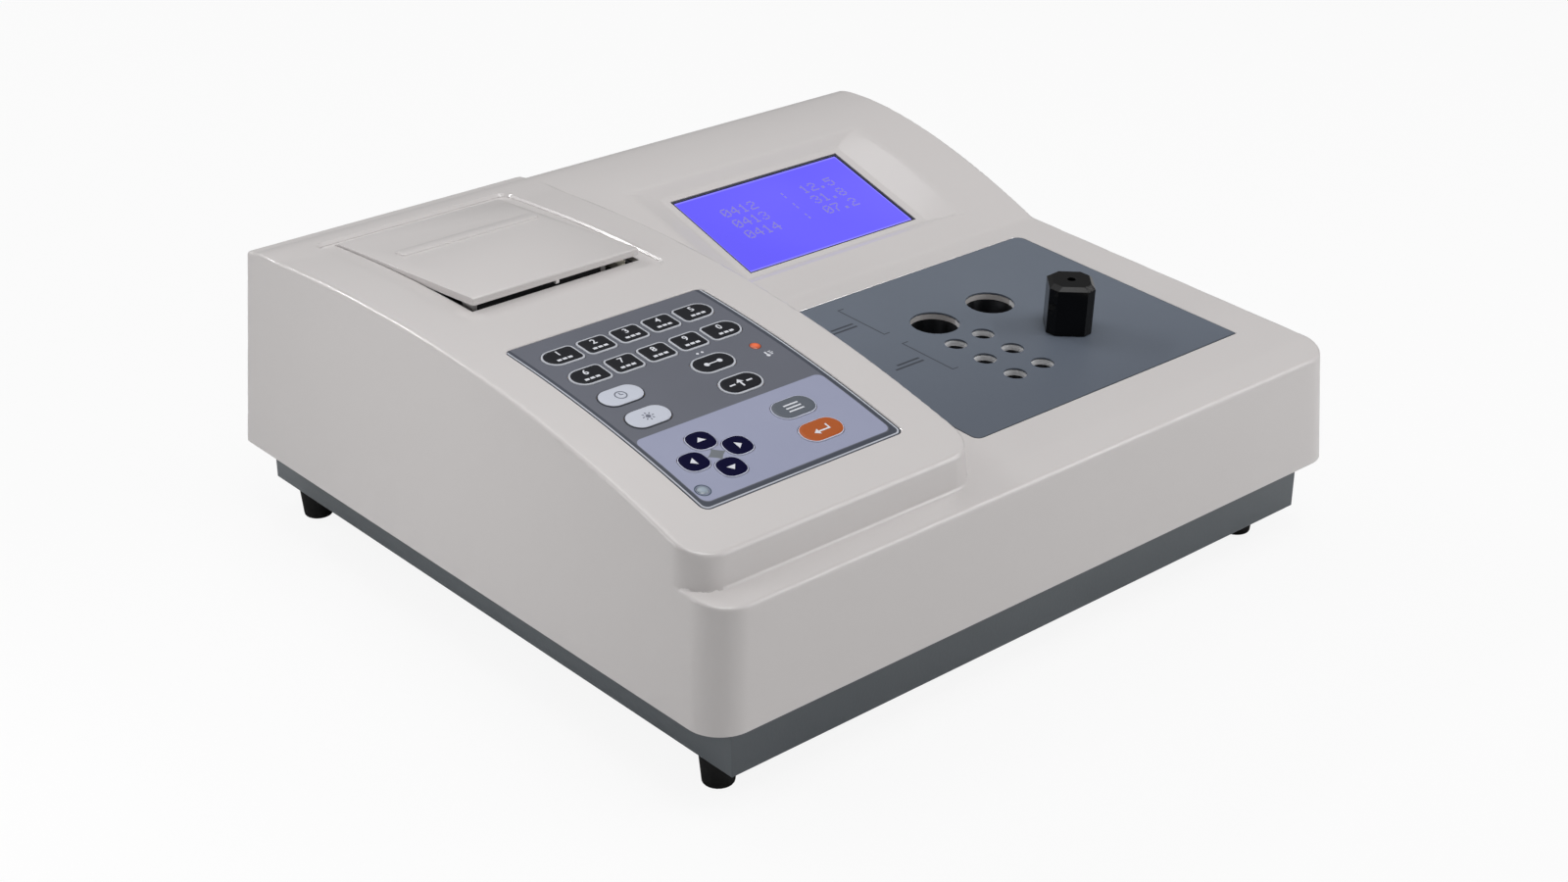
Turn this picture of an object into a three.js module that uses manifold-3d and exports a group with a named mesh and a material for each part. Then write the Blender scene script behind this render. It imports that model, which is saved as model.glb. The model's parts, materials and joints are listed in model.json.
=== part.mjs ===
// Bench coagulation analyzer with a thermal printer, keypad, tilted screen and heated wells.
// Millimetres. +Z is up, the front faces -Y, and the right-hand side is +X.
// Sizes are measured in the case's own frame: x from its left edge, y from its front edge,
// z from its bottom rim. One group carries that frame to the middle of the footprint.

import * as THREE from 'three';
import { mergeVertices } from 'three/addons/utils/BufferGeometryUtils.js';
import Module from 'manifold-3d';

const wasm = await Module();
wasm.setup();

// Shared values
const overrun = 2;
const clearance = 0.3;
const weld = 0.0001;
const arc_steps = 4;
const round_sides = 24;
const small_sides = 14;

// Upper case: a drafted plastic shell with a raised column on its left
const case_width = 330;
const case_depth = 303.8;
const case_wall = 3.2;
const left_draft = 5;
const right_draft = 3.2;
const front_draft = 4;
const rear_draft = 2;
const front_corner = 14;
const rear_corner = 2;
const crease_height = 45.5;
const deck_height = 48;
const ledge_depth = 17;
const deck_tilt = 2.73;
const deck_length = 153;
const hump_height = 84.6;
const hump_rise_shares = [[0.151, 0.331], [0.523, 0.983], [0.809, 1]];
const hump_fall_shares = [[0.882, 1], [0.9716, 1.0273], [0.9806, 0.7406]];
const column_height = 87.1;
const column_front = 14.2;
const column_right_front = 137;
const column_right_rear = 143.6;
const column_side_draft = 3;
const column_front_draft = 5;
const column_corner = 12;
const column_start_shares = [0.05, 0.691];
const column_rise_shares = [[0.2436, 0.8817], [0.4378, 1.002], [0.6847, 1]];
const column_fall_shares = [[0.823, 1.002], [0.9217, 0.9713], [1.02, 0.9415]];
const curve_steps = 12;

// Chassis: a folded sheet-metal tray with a tall connector panel at the back
const sheet = 1.5;
const chassis_drop = 22.3;
const chassis_side = 13.7;
const chassis_front = 8;
const chassis_stand_out = 1.7;
const chassis_rear = case_depth + chassis_stand_out;
const chassis_rise = 5;
const flange_gap = 1.6;
const flange_set_back = 9.8;
const flange_rear = case_depth - flange_set_back;
const panel_left = 47;
const panel_right = case_width - panel_left;
const panel_height = 52;
const panel_lap = 5;
const vent_length_share = 0.6;
const vent_width = 3;
const vent_pitch = 8;
const vent_count = 5;

// Feet and the screws that hold the case down through them
const foot_height = 12;
const foot_top_radius = 7;
const foot_bottom_radius = 6;
const foot_edge = 1;
const foot_left = 20.5;
const foot_right_inset = 29.5;
const foot_right = case_width - foot_right_inset;
const foot_front = 23.5;
const foot_rear_inset = 18.3;
const foot_rear = case_depth - foot_rear_inset;
const screw_radius = 1.75;
const screw_head_radius = 3.4;
const screw_head_height = 2.2;
const screw_recess = 4;
const screw_bite = 12;
const boss_radius = 4.5;
const boss_height = 30;
const boss_rib = 2.4;
const rib_low = 6.5;

// Keypad: a printed membrane in a shallow pocket, over a layer of snap domes
const keypad_left = 25.2;
const keypad_right = 117.3;
const keypad_front_share = 0.1142;
const keypad_front = keypad_front_share * case_depth;
const keypad_rear_share = 0.4905;
const keypad_rear = keypad_rear_share * case_depth;
const keypad_depth = keypad_rear - keypad_front;
const keypad_corner = 3;
const pocket_depth = 2.2;
const membrane_set = 0.35;
const membrane = 0.75;
const circuit = 0.5;
const circuit_set = 1.4;
const key_thickness = 1.1;
const key_stand = 0.25;
const key_travel = 0.45;
const key_corner = 2.5;
const digit_width = 13.5;
const digit_end_width = 16;
const digit_height = 11.4;
const digit_columns = 5;
const digit_column = 56.75;
const digit_pitch = 15;
const digit_end_shift = 16.15;
const digit_row_shares = [0.874, 0.7305];
const pill_width = 18.7;
const pill_height = 11.2;
const pill_left = 42;
const pill_middle = 84.5;
const pill_right = 91.2;
const pill_row_shares = [0.584, 0.448, 0.2635, 0.134];
const pad_x = 48.8;
const pad_share = 0.196;
const pad_y = keypad_front + pad_share * keypad_depth;
const pad_reach_x = 9.8;
const pad_reach_y = 8.3;
const arrow_width = 11.4;
const arrow_height = 10.6;
const arrow_power = 2.6;
const tail_left = 62;
const tail_width = 20;
const tail_thickness = 0.5;
const tail_sway = 7;
const tail_slot = 2.6;
const tail_steps = 12;
const lamp_radius = 2.2;
const lamp_x = 105.8;
const lamp_share = 0.596;
const lamp_y = keypad_front + lamp_share * keypad_depth;
const power_lamp_x = 31.8;
const power_lamp_share = 0.0796;
const power_lamp_y = keypad_front + power_lamp_share * keypad_depth;
const lamp_depth = 1;

// Printer: a tub under a hinged cover that carries the platen
const recess_left = 28.8;
const recess_right = 121;
const recess_front_share = 0.5744;
const recess_front = recess_front_share * case_depth;
const recess_rear_share = 0.9332;
const recess_rear = recess_rear_share * case_depth;
const recess_corner = 4;
const recess_depth = 1;
const bay_left = 36.5;
const bay_right = 115.7;
const bay_front_share = 0.6073;
const bay_front = bay_front_share * case_depth;
const bay_rear_share = 0.9276;
const bay_rear = bay_rear_share * case_depth;
const cover_side_gap = 0.9;
const cover_thickness = 3;
const cover_front_z = 91;
const cover_edge = 1;
const grip_width = 66;
const grip_depth = 8;
const grip_height = 0.9;
const grip_share = 0.8196;
const grip_y = grip_share * case_depth;
const hinge_set_back = 3.4;
const hinge_y = bay_rear - hinge_set_back;
const hinge_z = 81.6;
const knuckle_radius = 2.6;
const knuckle_length = 9;
const pin_radius = 1.2;
const running_gap = 0.3;
const running_fit = 0.1;
const tub_wall = 2;
const tub_low = 38;
const tub_high = 84;
const tub_flange = 5;
const tub_flange_z = 79.6;
const lip_nub_width = 1.5;
const platen_set_back = 9.5;
const platen_y = bay_front + platen_set_back;
const platen_z = 80.2;
const platen_radius = 5;
const platen_left = 43;
const platen_length = 58;
const shaft_radius = 1.5;
const ear_width = 2.2;
const ear_radius = 3.4;
const gear_module = 0.5;
const tooth_root_share = 1.2;
const tooth_tip_share = 0.85;
const tooth_base_share = 1.4;
const gear_width = 4;
const platen_teeth = 24;
const motor_teeth = 12;
const tooth_share = 0.42;
const gear_backlash = 0.15;
const motor_radius = 7.5;
const motor_length = 12;
const motor_lug_share = 1.3;
const head_depth = 13;
const head_height = 4.6;
const head_chip = 1;
const shelf_depth = 19;
const roll_radius = 19;
const roll_core = 6.2;
const roll_length = 57;
const roll_share = 0.8098;
const roll_y = roll_share * case_depth;
const roll_z = 61.5;
const spindle_radius = 5.6;
const spindle_end = 1.7;

// Screen: a display module behind a pane, at the bottom of a sloped recess in the hump
const hump_width = case_width - column_right_rear;
const hump_depth = case_depth - ledge_depth - deck_length;
const screen_share_x = 0.4485;
const screen_x = column_right_rear + screen_share_x * hump_width;
const screen_share_y = 0.3587;
const screen_y = ledge_depth + deck_length + screen_share_y * hump_depth;
const screen_rise_share = 0.4674;
const screen_tilt_share = 1.4048;
const bezel_share_x = 0.5129;
const bezel_share_y = 0.4155;
const bezel_width = bezel_share_x * hump_width;
const bezel_height = bezel_share_y * hump_depth;
const bezel_border = 1;
const bezel_depth = 5.6;
const pane_thickness = 0.8;
const well_share_x = 0.2763;
const well_share_y = 0.2317;
const well_half_width = well_share_x * hump_width;
const well_half_height = well_share_y * hump_depth;
const rim_shares_x = [-0.3423, 0.367];
const rim_shares_y = [-0.2646, 0.2825];
const rim_steps = 8;
const rim_overshoot = 1.5;
const module_share_x = 0.6009;
const module_share_y = 0.5082;
const module_width = module_share_x * hump_width;
const module_height = module_share_y * hump_depth;
const board_thickness = 1.6;
const module_part = 3;
const post_radius = 2.6;

// Deck panel and the heated block under it
const deck_panel_inset_left = 19.7;
const deck_panel_inset_right = 24;
const deck_panel_inset_rear = 11.1;
const deck_panel_left = column_right_front + deck_panel_inset_left;
const deck_panel_right = case_width - deck_panel_inset_right;
const deck_panel_front = 19.3;
const deck_panel_rear = deck_length - deck_panel_inset_rear;
const deck_panel_corners = [4, 3, 3, 0.5];
const deck_panel_thickness = 0.7;
const deck_pocket = 1;
const well_column_share = 0.34;
const well_column_left = deck_panel_left + well_column_share * (deck_panel_right - deck_panel_left);
const well_column_pitch = 15.4;
const well_row_front = 48.8;
const well_row_pitch = 16.4;
const sample_radius = 4.6;
const sample_depth = 24;
const reagent_radius = 10.2;
const reagent_depth = 30;
const reagent_shift = 6.8;
const reagent_left = well_column_left + reagent_shift;
const reagent_pitch = 31.8;
const reagent_row_pitch = 51.8;
const reagent_row = well_row_front + reagent_row_pitch;
const optic_pitch = 47;
const optic_x = well_column_left + optic_pitch;
const optic_row = well_row_front + well_row_pitch;
const optic_radius = 5.2;
const optic_depth = 26;
const block_margin_left = 8.5;
const block_margin_right = 15.5;
const block_margin_front = 10.8;
const block_margin_rear = 3.2;
const block_left = well_column_left - block_margin_left;
const block_right = optic_x + block_margin_right;
const block_front = well_row_front - block_margin_front;
const block_rear = reagent_row + reagent_radius + block_margin_rear;
const block_height = 34;
const mat_thickness = 1.2;
const lens_bore = 3.2;
const lens_level = 17;
const emitter_radius = 3;
const emitter_flange = 5;
const stand_leg = 12;

// Light-shield cap over the measuring well
const cap_width = 18.4;
const cap_height = 21;
const cap_chamfer = 3.2;
const cap_bevel = 1.6;
const cap_turn = -41;
const cap_bore = 5.2;
const cap_bore_depth = 15;
const cap_port = 1.75;

// Electronics on the chassis floor
const stud_radius = 2.5;
const stud_height = 7;
const main_left = 31;
const main_front = 30;
const main_width = 98;
const supply_left = 34;
const supply_width = 84;
const supply_depth = 80;
const supply_rear_gap = 25.5;
const supply_front = chassis_rear - supply_depth - supply_rear_gap;
const main_grid = 14;
const main_blocks = [[1, 4, 2, 5, 0.33], [6, 9, 2, 4, 0.33], [1, 8, 17, 18, 1]];
const main_cans = [[1, 12, 3, 1], [0.67, 12, 10, 2]];
const supply_grid = 12;
const supply_blocks = [[4, 8, 4, 9, 4], [10, 11, 2, 9.4, 4], [2, 6, 9.9, 10.9, 1.3]];
const supply_cans = [[1.3, 2, 3, 4]];
const main_depth_share = 0.8235;
const main_depth = main_depth_share * (supply_front - main_front);
const stud_inset = 6;

// Sockets and switch in the connector panel
const socket_level = 16;
const inlet_inset = 35;
const inlet_x = panel_left + inlet_inset;
const inlet_width = 27.4;
const inlet_height = 20;
const inlet_flange = 2;
const inlet_depth = 17;
const inlet_cavity_width = 24;
const inlet_cavity_height = 16.5;
const inlet_cavity_depth = 15;
const inlet_pin_width = 2;
const inlet_pin_height = 4;
const inlet_pin_pitch = 14;
const drawer_height = 9;
const drawer_width = 22;
const drawer_depth = 13;
const drawer_drop = 21;
const switch_spacing = 40;
const switch_x = inlet_x + switch_spacing;
const switch_width = 15;
const switch_height = 21;
const switch_flange = 1.6;
const switch_depth = 16;
const rocker_width = 11;
const rocker_reach = 8.8;
const rocker_swing = 12;
const rocker_valley_share = 0.8;
const rocker_crest_share = 0.82;
const rocker_pivot = 4.6;
const serial_spacing = 48;
const serial_x = switch_x + serial_spacing;
const serial_width = 16.9;
const serial_height = 8.3;
const serial_stand = 4.4;
const serial_flange_width = 30.8;
const serial_lean = 10;
const serial_flange_height = 12.5;
const serial_depth = 10;

// Materials
function finish(color, roughness, metalness = 0) {
  return new THREE.MeshStandardMaterial({ color, roughness, metalness });
}
const case_plastic = finish(0xd2cecb, 0.42);
const chassis_paint = finish(0x565c60, 0.55, 0.3);
const foot_rubber = finish(0x101010, 0.9);
const bright_steel = finish(0xb9bcc0, 0.3, 1);
const membrane_print = finish(0x565962, 0.5);
const digit_print = finish(0x2c2d33, 0.45);
const light_print = finish(0xc3c6d2, 0.45);
const menu_print = finish(0x6a707a, 0.45);
const enter_print = finish(0xc2621c, 0.45);
const arrow_print = finish(0x0c0b33, 0.4);
const circuit_film = finish(0xb48a3c, 0.5);
const red_lens = finish(0xd2603a, 0.3);
const gray_lens = finish(0x9aa0aa, 0.3);
const black_plastic = finish(0x161617, 0.35);
const platen_rubber = finish(0x2a2a2c, 0.85);
const gear_nylon = finish(0xe6e2d6, 0.5);
const paper_white = finish(0xf2f1ec, 0.9);
const panel_print = finish(0x69717c, 0.5);
const block_metal = finish(0x1b1c1e, 0.5, 0.6);
const mat_silicone = finish(0x9c3a26, 0.7);
const screen_glass = finish(0x7568f5, 0.12);
const board_green = finish(0x1f5b3a, 0.55);
const bare_sheet = finish(0xa8abae, 0.35, 1);

// Solids and geometry
function solidOf(geometry) {
  const bare = geometry.clone();
  bare.deleteAttribute('normal');
  bare.deleteAttribute('uv');
  const merged = mergeVertices(bare, weld);
  return new wasm.Manifold(new wasm.Mesh({
    numProp: 3,
    vertProperties: new Float32Array(merged.attributes.position.array),
    triVerts: new Uint32Array(merged.index.array),
  }));
}

function geometryOf(solid) {
  const mesh = solid.getMesh();
  const geometry = new THREE.BufferGeometry();
  geometry.setAttribute('position', new THREE.BufferAttribute(mesh.vertProperties, 3));
  geometry.setIndex(new THREE.BufferAttribute(mesh.triVerts, 1));
  const loose = geometry.toNonIndexed();
  loose.computeVertexNormals();
  return loose;
}

function joined(...geometries) {
  return geometryOf(geometries.map(solidOf).reduce((all, next) => all.add(next)));
}

function cut(geometry, ...tools) {
  return geometryOf(tools.map(solidOf).reduce((all, next) => all.subtract(next), solidOf(geometry)));
}

function common(geometry, other) {
  return geometryOf(solidOf(geometry).intersect(solidOf(other)));
}

// A box between two corners
function box(x0, x1, y0, y1, z0, z1) {
  const geometry = new THREE.BoxGeometry(x1 - x0, y1 - y0, z1 - z0);
  return geometry.translate((x0 + x1) / 2, (y0 + y1) / 2, (z0 + z1) / 2);
}

// A round rod along one axis, from one end to the other
function rodX(radius, x0, x1, y, z, sides = small_sides) {
  const geometry = new THREE.CylinderGeometry(radius, radius, x1 - x0, sides);
  return geometry.rotateZ(Math.PI / 2).translate((x0 + x1) / 2, y, z);
}

function rodY(radius, y0, y1, x, z, sides = small_sides) {
  const geometry = new THREE.CylinderGeometry(radius, radius, y1 - y0, sides);
  return geometry.translate(x, (y0 + y1) / 2, z);
}

function rodZ(radius, z0, z1, x, y, sides = small_sides) {
  const geometry = new THREE.CylinderGeometry(radius, radius, z1 - z0, sides);
  return geometry.rotateX(Math.PI / 2).translate(x, y, (z0 + z1) / 2);
}

// A flat shape swept straight up from z0 to z1
function prismZ(shape, z0, z1) {
  const options = { depth: z1 - z0, bevelEnabled: false, curveSegments: arc_steps };
  return new THREE.ExtrudeGeometry(shape, options).translate(0, 0, z0);
}

// An outline of [y, z] points swept along X
function prismX(outline, x0, x1) {
  const shape = new THREE.Shape(outline.map(([y, z]) => new THREE.Vector2(y, z)));
  const turn = new THREE.Matrix4().makeBasis(
    new THREE.Vector3(0, 1, 0), new THREE.Vector3(0, 0, 1), new THREE.Vector3(1, 0, 0));
  const options = { depth: x1 - x0, bevelEnabled: false };
  return new THREE.ExtrudeGeometry(shape, options).applyMatrix4(turn).translate(x0, 0, 0);
}

// A closed skin through convex outlines that have the same number of points, bottom first;
// a point may have a height of its own
function loft(levels) {
  const count = levels[0].points.length;
  const corners = levels.flatMap(({ z, points }) => points.map(([x, y, own = z]) => [x, y, own]));
  const faces = [];
  for (let level = 0; level + 1 < levels.length; level += 1) {
    for (let i = 0; i < count; i += 1) {
      const here = level * count + i;
      const next = level * count + (i + 1) % count;
      faces.push([here, next, next + count], [here, next + count, here + count]);
    }
  }
  const top = (levels.length - 1) * count;
  for (let i = 1; i + 1 < count; i += 1) {
    faces.push([0, i + 1, i], [top, top + i, top + i + 1]);
  }
  const geometry = new THREE.BufferGeometry();
  const values = faces.flatMap((face) => face.flatMap((index) => corners[index]));
  geometry.setAttribute('position', new THREE.Float32BufferAttribute(values, 3));
  return geometry;
}

// A quarter circle, counted from 0 at the rear right and going round to the left
function quarterArc(x, y, radius, quarter) {
  const points = [];
  for (let i = 0; i <= arc_steps; i += 1) {
    const angle = (quarter + i / arc_steps) * Math.PI / 2;
    points.push([x + radius * Math.cos(angle), y + radius * Math.sin(angle)]);
  }
  return points;
}

// A rectangle's outline with a radius for each corner: rear right, rear left, front left, front right
function roundedOutline(x0, x1, y0, y1, [rearRight, rearLeft, frontLeft, frontRight]) {
  return [
    ...quarterArc(x1 - rearRight, y1 - rearRight, rearRight, 0),
    ...quarterArc(x0 + rearLeft, y1 - rearLeft, rearLeft, 1),
    ...quarterArc(x0 + frontLeft, y0 + frontLeft, frontLeft, 2),
    ...quarterArc(x1 - frontRight, y0 + frontRight, frontRight, 3),
  ];
}

function shapeOf(points) {
  return new THREE.Shape(points.map(([x, y]) => new THREE.Vector2(x, y)));
}

function roundedPlate(x0, x1, y0, y1, radii, z0, z1) {
  return prismZ(shapeOf(roundedOutline(x0, x1, y0, y1, radii)), z0, z1);
}

const allCorners = (radius) => [radius, radius, radius, radius];

const slope = (degrees) => Math.tan(THREE.MathUtils.degToRad(degrees));
const radians = THREE.MathUtils.degToRad;

// Height lines of the case's top, as [y, z] points from the front to the rear
function curvePoints(points) {
  const [p0, p1, p2, p3] = points.map(([y, z]) => new THREE.Vector2(y, z));
  return new THREE.CubicBezierCurve(p0, p1, p2, p3).getPoints(curve_steps).map((p) => [p.x, p.y]);
}

const onColumnLine = ([a, b]) => [a * case_depth, b * column_height];
const column_rise = curvePoints([column_start_shares, ...column_rise_shares].map(onColumnLine));
const column_fall = curvePoints([column_rise.at(-1), ...column_fall_shares.map(onColumnLine)]);
const column_line = [...column_rise, ...column_fall.slice(1)];
const deck_end = ledge_depth + deck_length;
const hump_start = [deck_end, deck_height + deck_length * slope(deck_tilt)];
const hump_rise = hump_height - hump_start[1];
const onHumpLine = ([a, b]) => [deck_end + a * hump_depth, hump_start[1] + b * hump_rise];
const hump_front = curvePoints([hump_start, ...hump_rise_shares.map(onHumpLine)]);
const hump_back = curvePoints([hump_front.at(-1), ...hump_fall_shares.map(onHumpLine)]);
const hump_line = [...hump_front, ...hump_back.slice(1)];
const screen_z = hump_start[1] + screen_rise_share * hump_rise;
const screen_tilt = Math.atan(screen_tilt_share * hump_rise / hump_depth);

function heightAt(line, y) {
  const index = line.findIndex((point) => point[0] >= y);
  const [y0, z0] = line[index - 1];
  const [y1, z1] = line[index];
  return z0 + (z1 - z0) * (y - y0) / (y1 - y0);
}

// A band that follows a height line between two depths, from one offset to another
function bandOutline(line, y0, y1, low, high) {
  const inner = line.filter(([y]) => y > y0 && y < y1);
  const path = [[y0, heightAt(line, y0)], ...inner, [y1, heightAt(line, y1)]];
  const under = path.map(([y, z]) => [y, z + low]);
  const over = path.map(([y, z]) => [y, z + high]).reverse();
  return [...under, ...over];
}

// Upper case
function caseEnvelope(inset, low, high) {
  const level = (z) => {
    const left = inset + z * slope(left_draft);
    const right = case_width - inset - z * slope(right_draft);
    const front = inset + z * slope(front_draft);
    const rear = case_depth - inset - z * slope(rear_draft);
    const atRear = rear_corner - inset / 2;
    const atFront = front_corner - inset;
    const radii = [atRear, atRear, atFront, atFront];
    return { z, points: roundedOutline(left, right, front, rear, radii) };
  };
  return loft([level(low), level(high)]);
}

function columnEnvelope(inset, low, high) {
  const level = (z) => {
    const rise = z - crease_height;
    const left = inset + z * slope(left_draft);
    const front = column_front + inset + rise * slope(column_front_draft);
    const rear = case_depth + overrun;
    const rightFront = column_right_front - inset - rise * slope(column_side_draft);
    const rightRear = column_right_rear - inset - rise * slope(column_side_draft);
    const corner = column_corner - inset / 2;
    const points = roundedOutline(left, rightFront, front, rear, [weld, weld, corner, corner]);
    const lean = (rightRear - rightFront) / (rear - front);
    return { z, points: points.map(([x, y]) => [x > left + column_corner ? x + (y - front) * lean : x, y]) };
  };
  return loft([level(low), level(high)]);
}

function caseBody(inset) {
  const low = inset ? -overrun : 0;
  const high = column_height + overrun;
  const envelope = caseEnvelope(inset, low, high);
  const bandSlope = (deck_height - crease_height) / ledge_depth;
  const front = -overrun;
  const rear = case_depth + overrun;
  const deckProfile = [
    [front, -2 * overrun],
    [rear, -2 * overrun],
    [rear, hump_line.at(-1)[1] - inset],
    ...[...hump_line].reverse().map(([y, z]) => [y, z - inset]),
    [ledge_depth, deck_height - inset],
    [front, deck_height - (ledge_depth - front) * bandSlope - inset],
  ];
  const deckBody = prismX(deckProfile, -overrun, case_width + overrun);
  const columnTop = column_line.map(([y, z]) => [y, z - inset]).reverse();
  const columnProfile = [
    [front, 0],
    [rear + case_wall, 0],
    [rear + case_wall, columnTop[0][1]],
    ...columnTop,
    [front, columnTop.at(-1)[1]],
  ];
  const columnPlan = columnEnvelope(inset, 0, high);
  const column = common(prismX(columnProfile, -overrun, case_width), columnPlan);
  return common(joined(deckBody, column), envelope);
}

// The screen's own frame: u across, v up the slope, w out of it
function onScreen(geometry) {
  return geometry.rotateX(screen_tilt).translate(screen_x, screen_y, screen_z);
}

// How far the hump stands out of the screen's plane at a place up the screen
function humpOverScreen(v) {
  const across = Math.cos(screen_tilt);
  const up = Math.sin(screen_tilt);
  let w = 0;
  for (let i = 0; i < rim_steps; i += 1) {
    const y = screen_y + v * across - w * up;
    w = (heightAt(hump_line, y) - screen_z - v * up) / across;
  }
  return w;
}

// The recess has a flat floor and flanks that rise to a straight-sided rim on the hump's curve
function screenRecess(drop) {
  const floorX = [-well_half_width, well_half_width];
  const floorY = [-well_half_height, well_half_height];
  const rimX = rim_shares_x.map((share) => share * hump_width);
  const rimY = rim_shares_y.map((share) => share * hump_depth);
  const places = [[1 / 2, 1]];
  for (let i = 0; i <= rim_steps; i += 1) {
    places.push([0, 1 - i / rim_steps]);
  }
  for (let i = 0; i <= rim_steps; i += 1) {
    places.push([1, i / rim_steps]);
  }
  const between = ([a, b], share) => a + (b - a) * share;
  const rising = (rise) => places.map(([across, up]) => {
    const rimV = between(rimY, up);
    const u = between([between(floorX, across), between(rimX, across)], rise);
    const v = between([between(floorY, up), rimV], rise);
    return [u, v, rise * humpOverScreen(rimV) - drop];
  });
  const flankTop = rising(rim_overshoot);
  const lid = flankTop.map(([u, v]) => [u, v, well_half_height]);
  return onScreen(loft([{ points: rising(0) }, { points: flankTop }, { points: lid }]));
}

// The deck's own frame: its origin is at the front of the deck, on the surface
function onDeck(geometry) {
  return geometry.rotateX(radians(deck_tilt)).translate(0, ledge_depth, deck_height);
}

const sample_wells = [0, 1].flatMap((column) => [0, 1, 2].map((row) =>
  [well_column_left + column * well_column_pitch, well_row_front + row * well_row_pitch]));
const reagent_wells = [[reagent_left, reagent_row], [reagent_left + reagent_pitch, reagent_row]];

function wellTools(grow, low, sampleLow, reagentLow, high) {
  const samples = sample_wells.map(([x, y]) => rodZ(sample_radius + grow, sampleLow, high, x, y, round_sides));
  const reagents = reagent_wells.map(([x, y]) => rodZ(reagent_radius + grow, reagentLow, high, x, y, round_sides));
  const optic = rodZ(optic_radius + grow, low, high, optic_x, optic_row, round_sides);
  return [...samples, ...reagents, optic];
}

const foot_places = {
  front_left: [foot_left, foot_front],
  front_right: [foot_right, foot_front],
  rear_left: [foot_left, foot_rear],
  rear_right: [foot_right, foot_rear],
};
const chassis_floor_top = sheet - chassis_drop;

function caseBosses() {
  return Object.values(foot_places).map(([x, y]) => {
    const wallX = x < case_width / 2 ? 0 : case_width;
    const wallY = y < case_depth / 2 ? 0 : case_depth;
    const rib = boss_rib / 2;
    const pillar = rodZ(boss_radius, chassis_floor_top + clearance, boss_height, x, y, small_sides);
    const ribX = box(Math.min(x, wallX), Math.max(x, wallX), y - rib, y + rib, rib_low, boss_height);
    const ribY = box(x - rib, x + rib, Math.min(y, wallY), Math.max(y, wallY), rib_low, boss_height);
    const ribs = common(joined(ribX, ribY), caseEnvelope(case_wall / 2, 0, boss_height + overrun));
    return joined(pillar, ribs);
  });
}

const pad_outlines = makePads();

function makePads() {
  const pads = [];
  const rowAt = (share) => keypad_front + share * keypad_depth;
  digit_row_shares.forEach((share, row) => {
    for (let column = 0; column < digit_columns; column += 1) {
      const digit = (row * digit_columns + column + 1) % (2 * digit_columns);
      const first = column === 0;
      const last = column === digit_columns - 1;
      const steps = Math.min(Math.max(column - 1, 0), 2);
      const shift = (last ? digit_end_shift : 0) - (first ? digit_end_shift : 0);
      const width = first || last ? digit_end_width : digit_width;
      const x = digit_column + steps * digit_pitch + shift;
      const ends = [first ? digit_height / 2 : key_corner, last ? digit_height / 2 : key_corner];
      const outline = pillOutline(width, digit_height, ends);
      pads.push({ name: `key_${digit}`, x, y: rowAt(share), outline, material: digit_print });
    }
  });
  const pillEnds = [pill_height / 2, pill_height / 2];
  const pills = [
    ['key_timer', pill_left, 0, light_print],
    ['key_optic', pill_left, 1, light_print],
    ['key_online', pill_middle, 0, digit_print],
    ['key_feed', pill_middle, 1, digit_print],
    ['key_menu', pill_right, 2, menu_print],
    ['key_enter', pill_right, 3, enter_print],
  ];
  for (const [name, x, row, material] of pills) {
    const outline = pillOutline(pill_width, pill_height, pillEnds);
    pads.push({ name, x, y: rowAt(pill_row_shares[row]), outline, material });
  }
  const arrows = [
    ['key_up', 0, 1],
    ['key_down', 0, -1],
    ['key_left', -1, 0],
    ['key_right', 1, 0],
  ];
  for (const [name, across, along] of arrows) {
    const x = pad_x + across * pad_reach_x;
    const y = pad_y + along * pad_reach_y;
    pads.push({ name, x, y, outline: arrowOutline(), material: arrow_print });
  }
  return pads;
}

// A key's outline about its own middle, with one radius at its left end and one at its right
function pillOutline(width, height, [leftRadius, rightRadius]) {
  return (grow) => {
    const x = width / 2 + grow;
    const y = height / 2 + grow;
    const right = rightRadius + grow - weld;
    const left = leftRadius + grow - weld;
    return roundedOutline(-x, x, -y, y, [right, left, left, right]);
  };
}

// An arrow key's outline: a superellipse, fuller than an oval
function arrowOutline() {
  return (grow) => {
    const points = [];
    for (let i = 0; i < round_sides; i += 1) {
      const angle = 2 * Math.PI * i / round_sides;
      const bulge = (value) => Math.sign(value) * Math.abs(value) ** (2 / arrow_power);
      const x = (arrow_width / 2 + grow) * bulge(Math.cos(angle));
      const y = (arrow_height / 2 + grow) * bulge(Math.sin(angle));
      points.push([x, y]);
    }
    return points;
  };
}

// The keypad's surface leans with the column's curve, so each key has its own tilt
function tiltAt(y, reach) {
  const rise = heightAt(column_line, y + reach) - heightAt(column_line, y - reach);
  return Math.atan2(rise, 2 * reach);
}

function onColumn(geometry, x, y) {
  return geometry.rotateX(tiltAt(y, digit_height / 2)).translate(x, y, heightAt(column_line, y));
}

function keypadBand(inset, low, high) {
  const y0 = keypad_front + inset;
  const y1 = keypad_rear - inset;
  const band = prismX(bandOutline(column_line, y0, y1, low, high), keypad_left, keypad_right);
  const corner = keypad_corner - inset;
  const x0 = keypad_left + inset;
  const x1 = keypad_right - inset;
  return common(band, roundedPlate(x0, x1, y0, y1, allCorners(corner), 0, column_height + overrun));
}

const tail_y = (keypad_front + keypad_rear) / 2;
const tail_right = tail_left + tail_width;

function printerPocket() {
  const band = bandOutline(column_line, recess_front, recess_rear, -recess_depth, overrun);
  const plan = roundedPlate(recess_left, recess_right, recess_front, recess_rear, allCorners(recess_corner),
    0, column_height + 2 * overrun);
  return common(prismX(band, recess_left, recess_right), plan);
}

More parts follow.
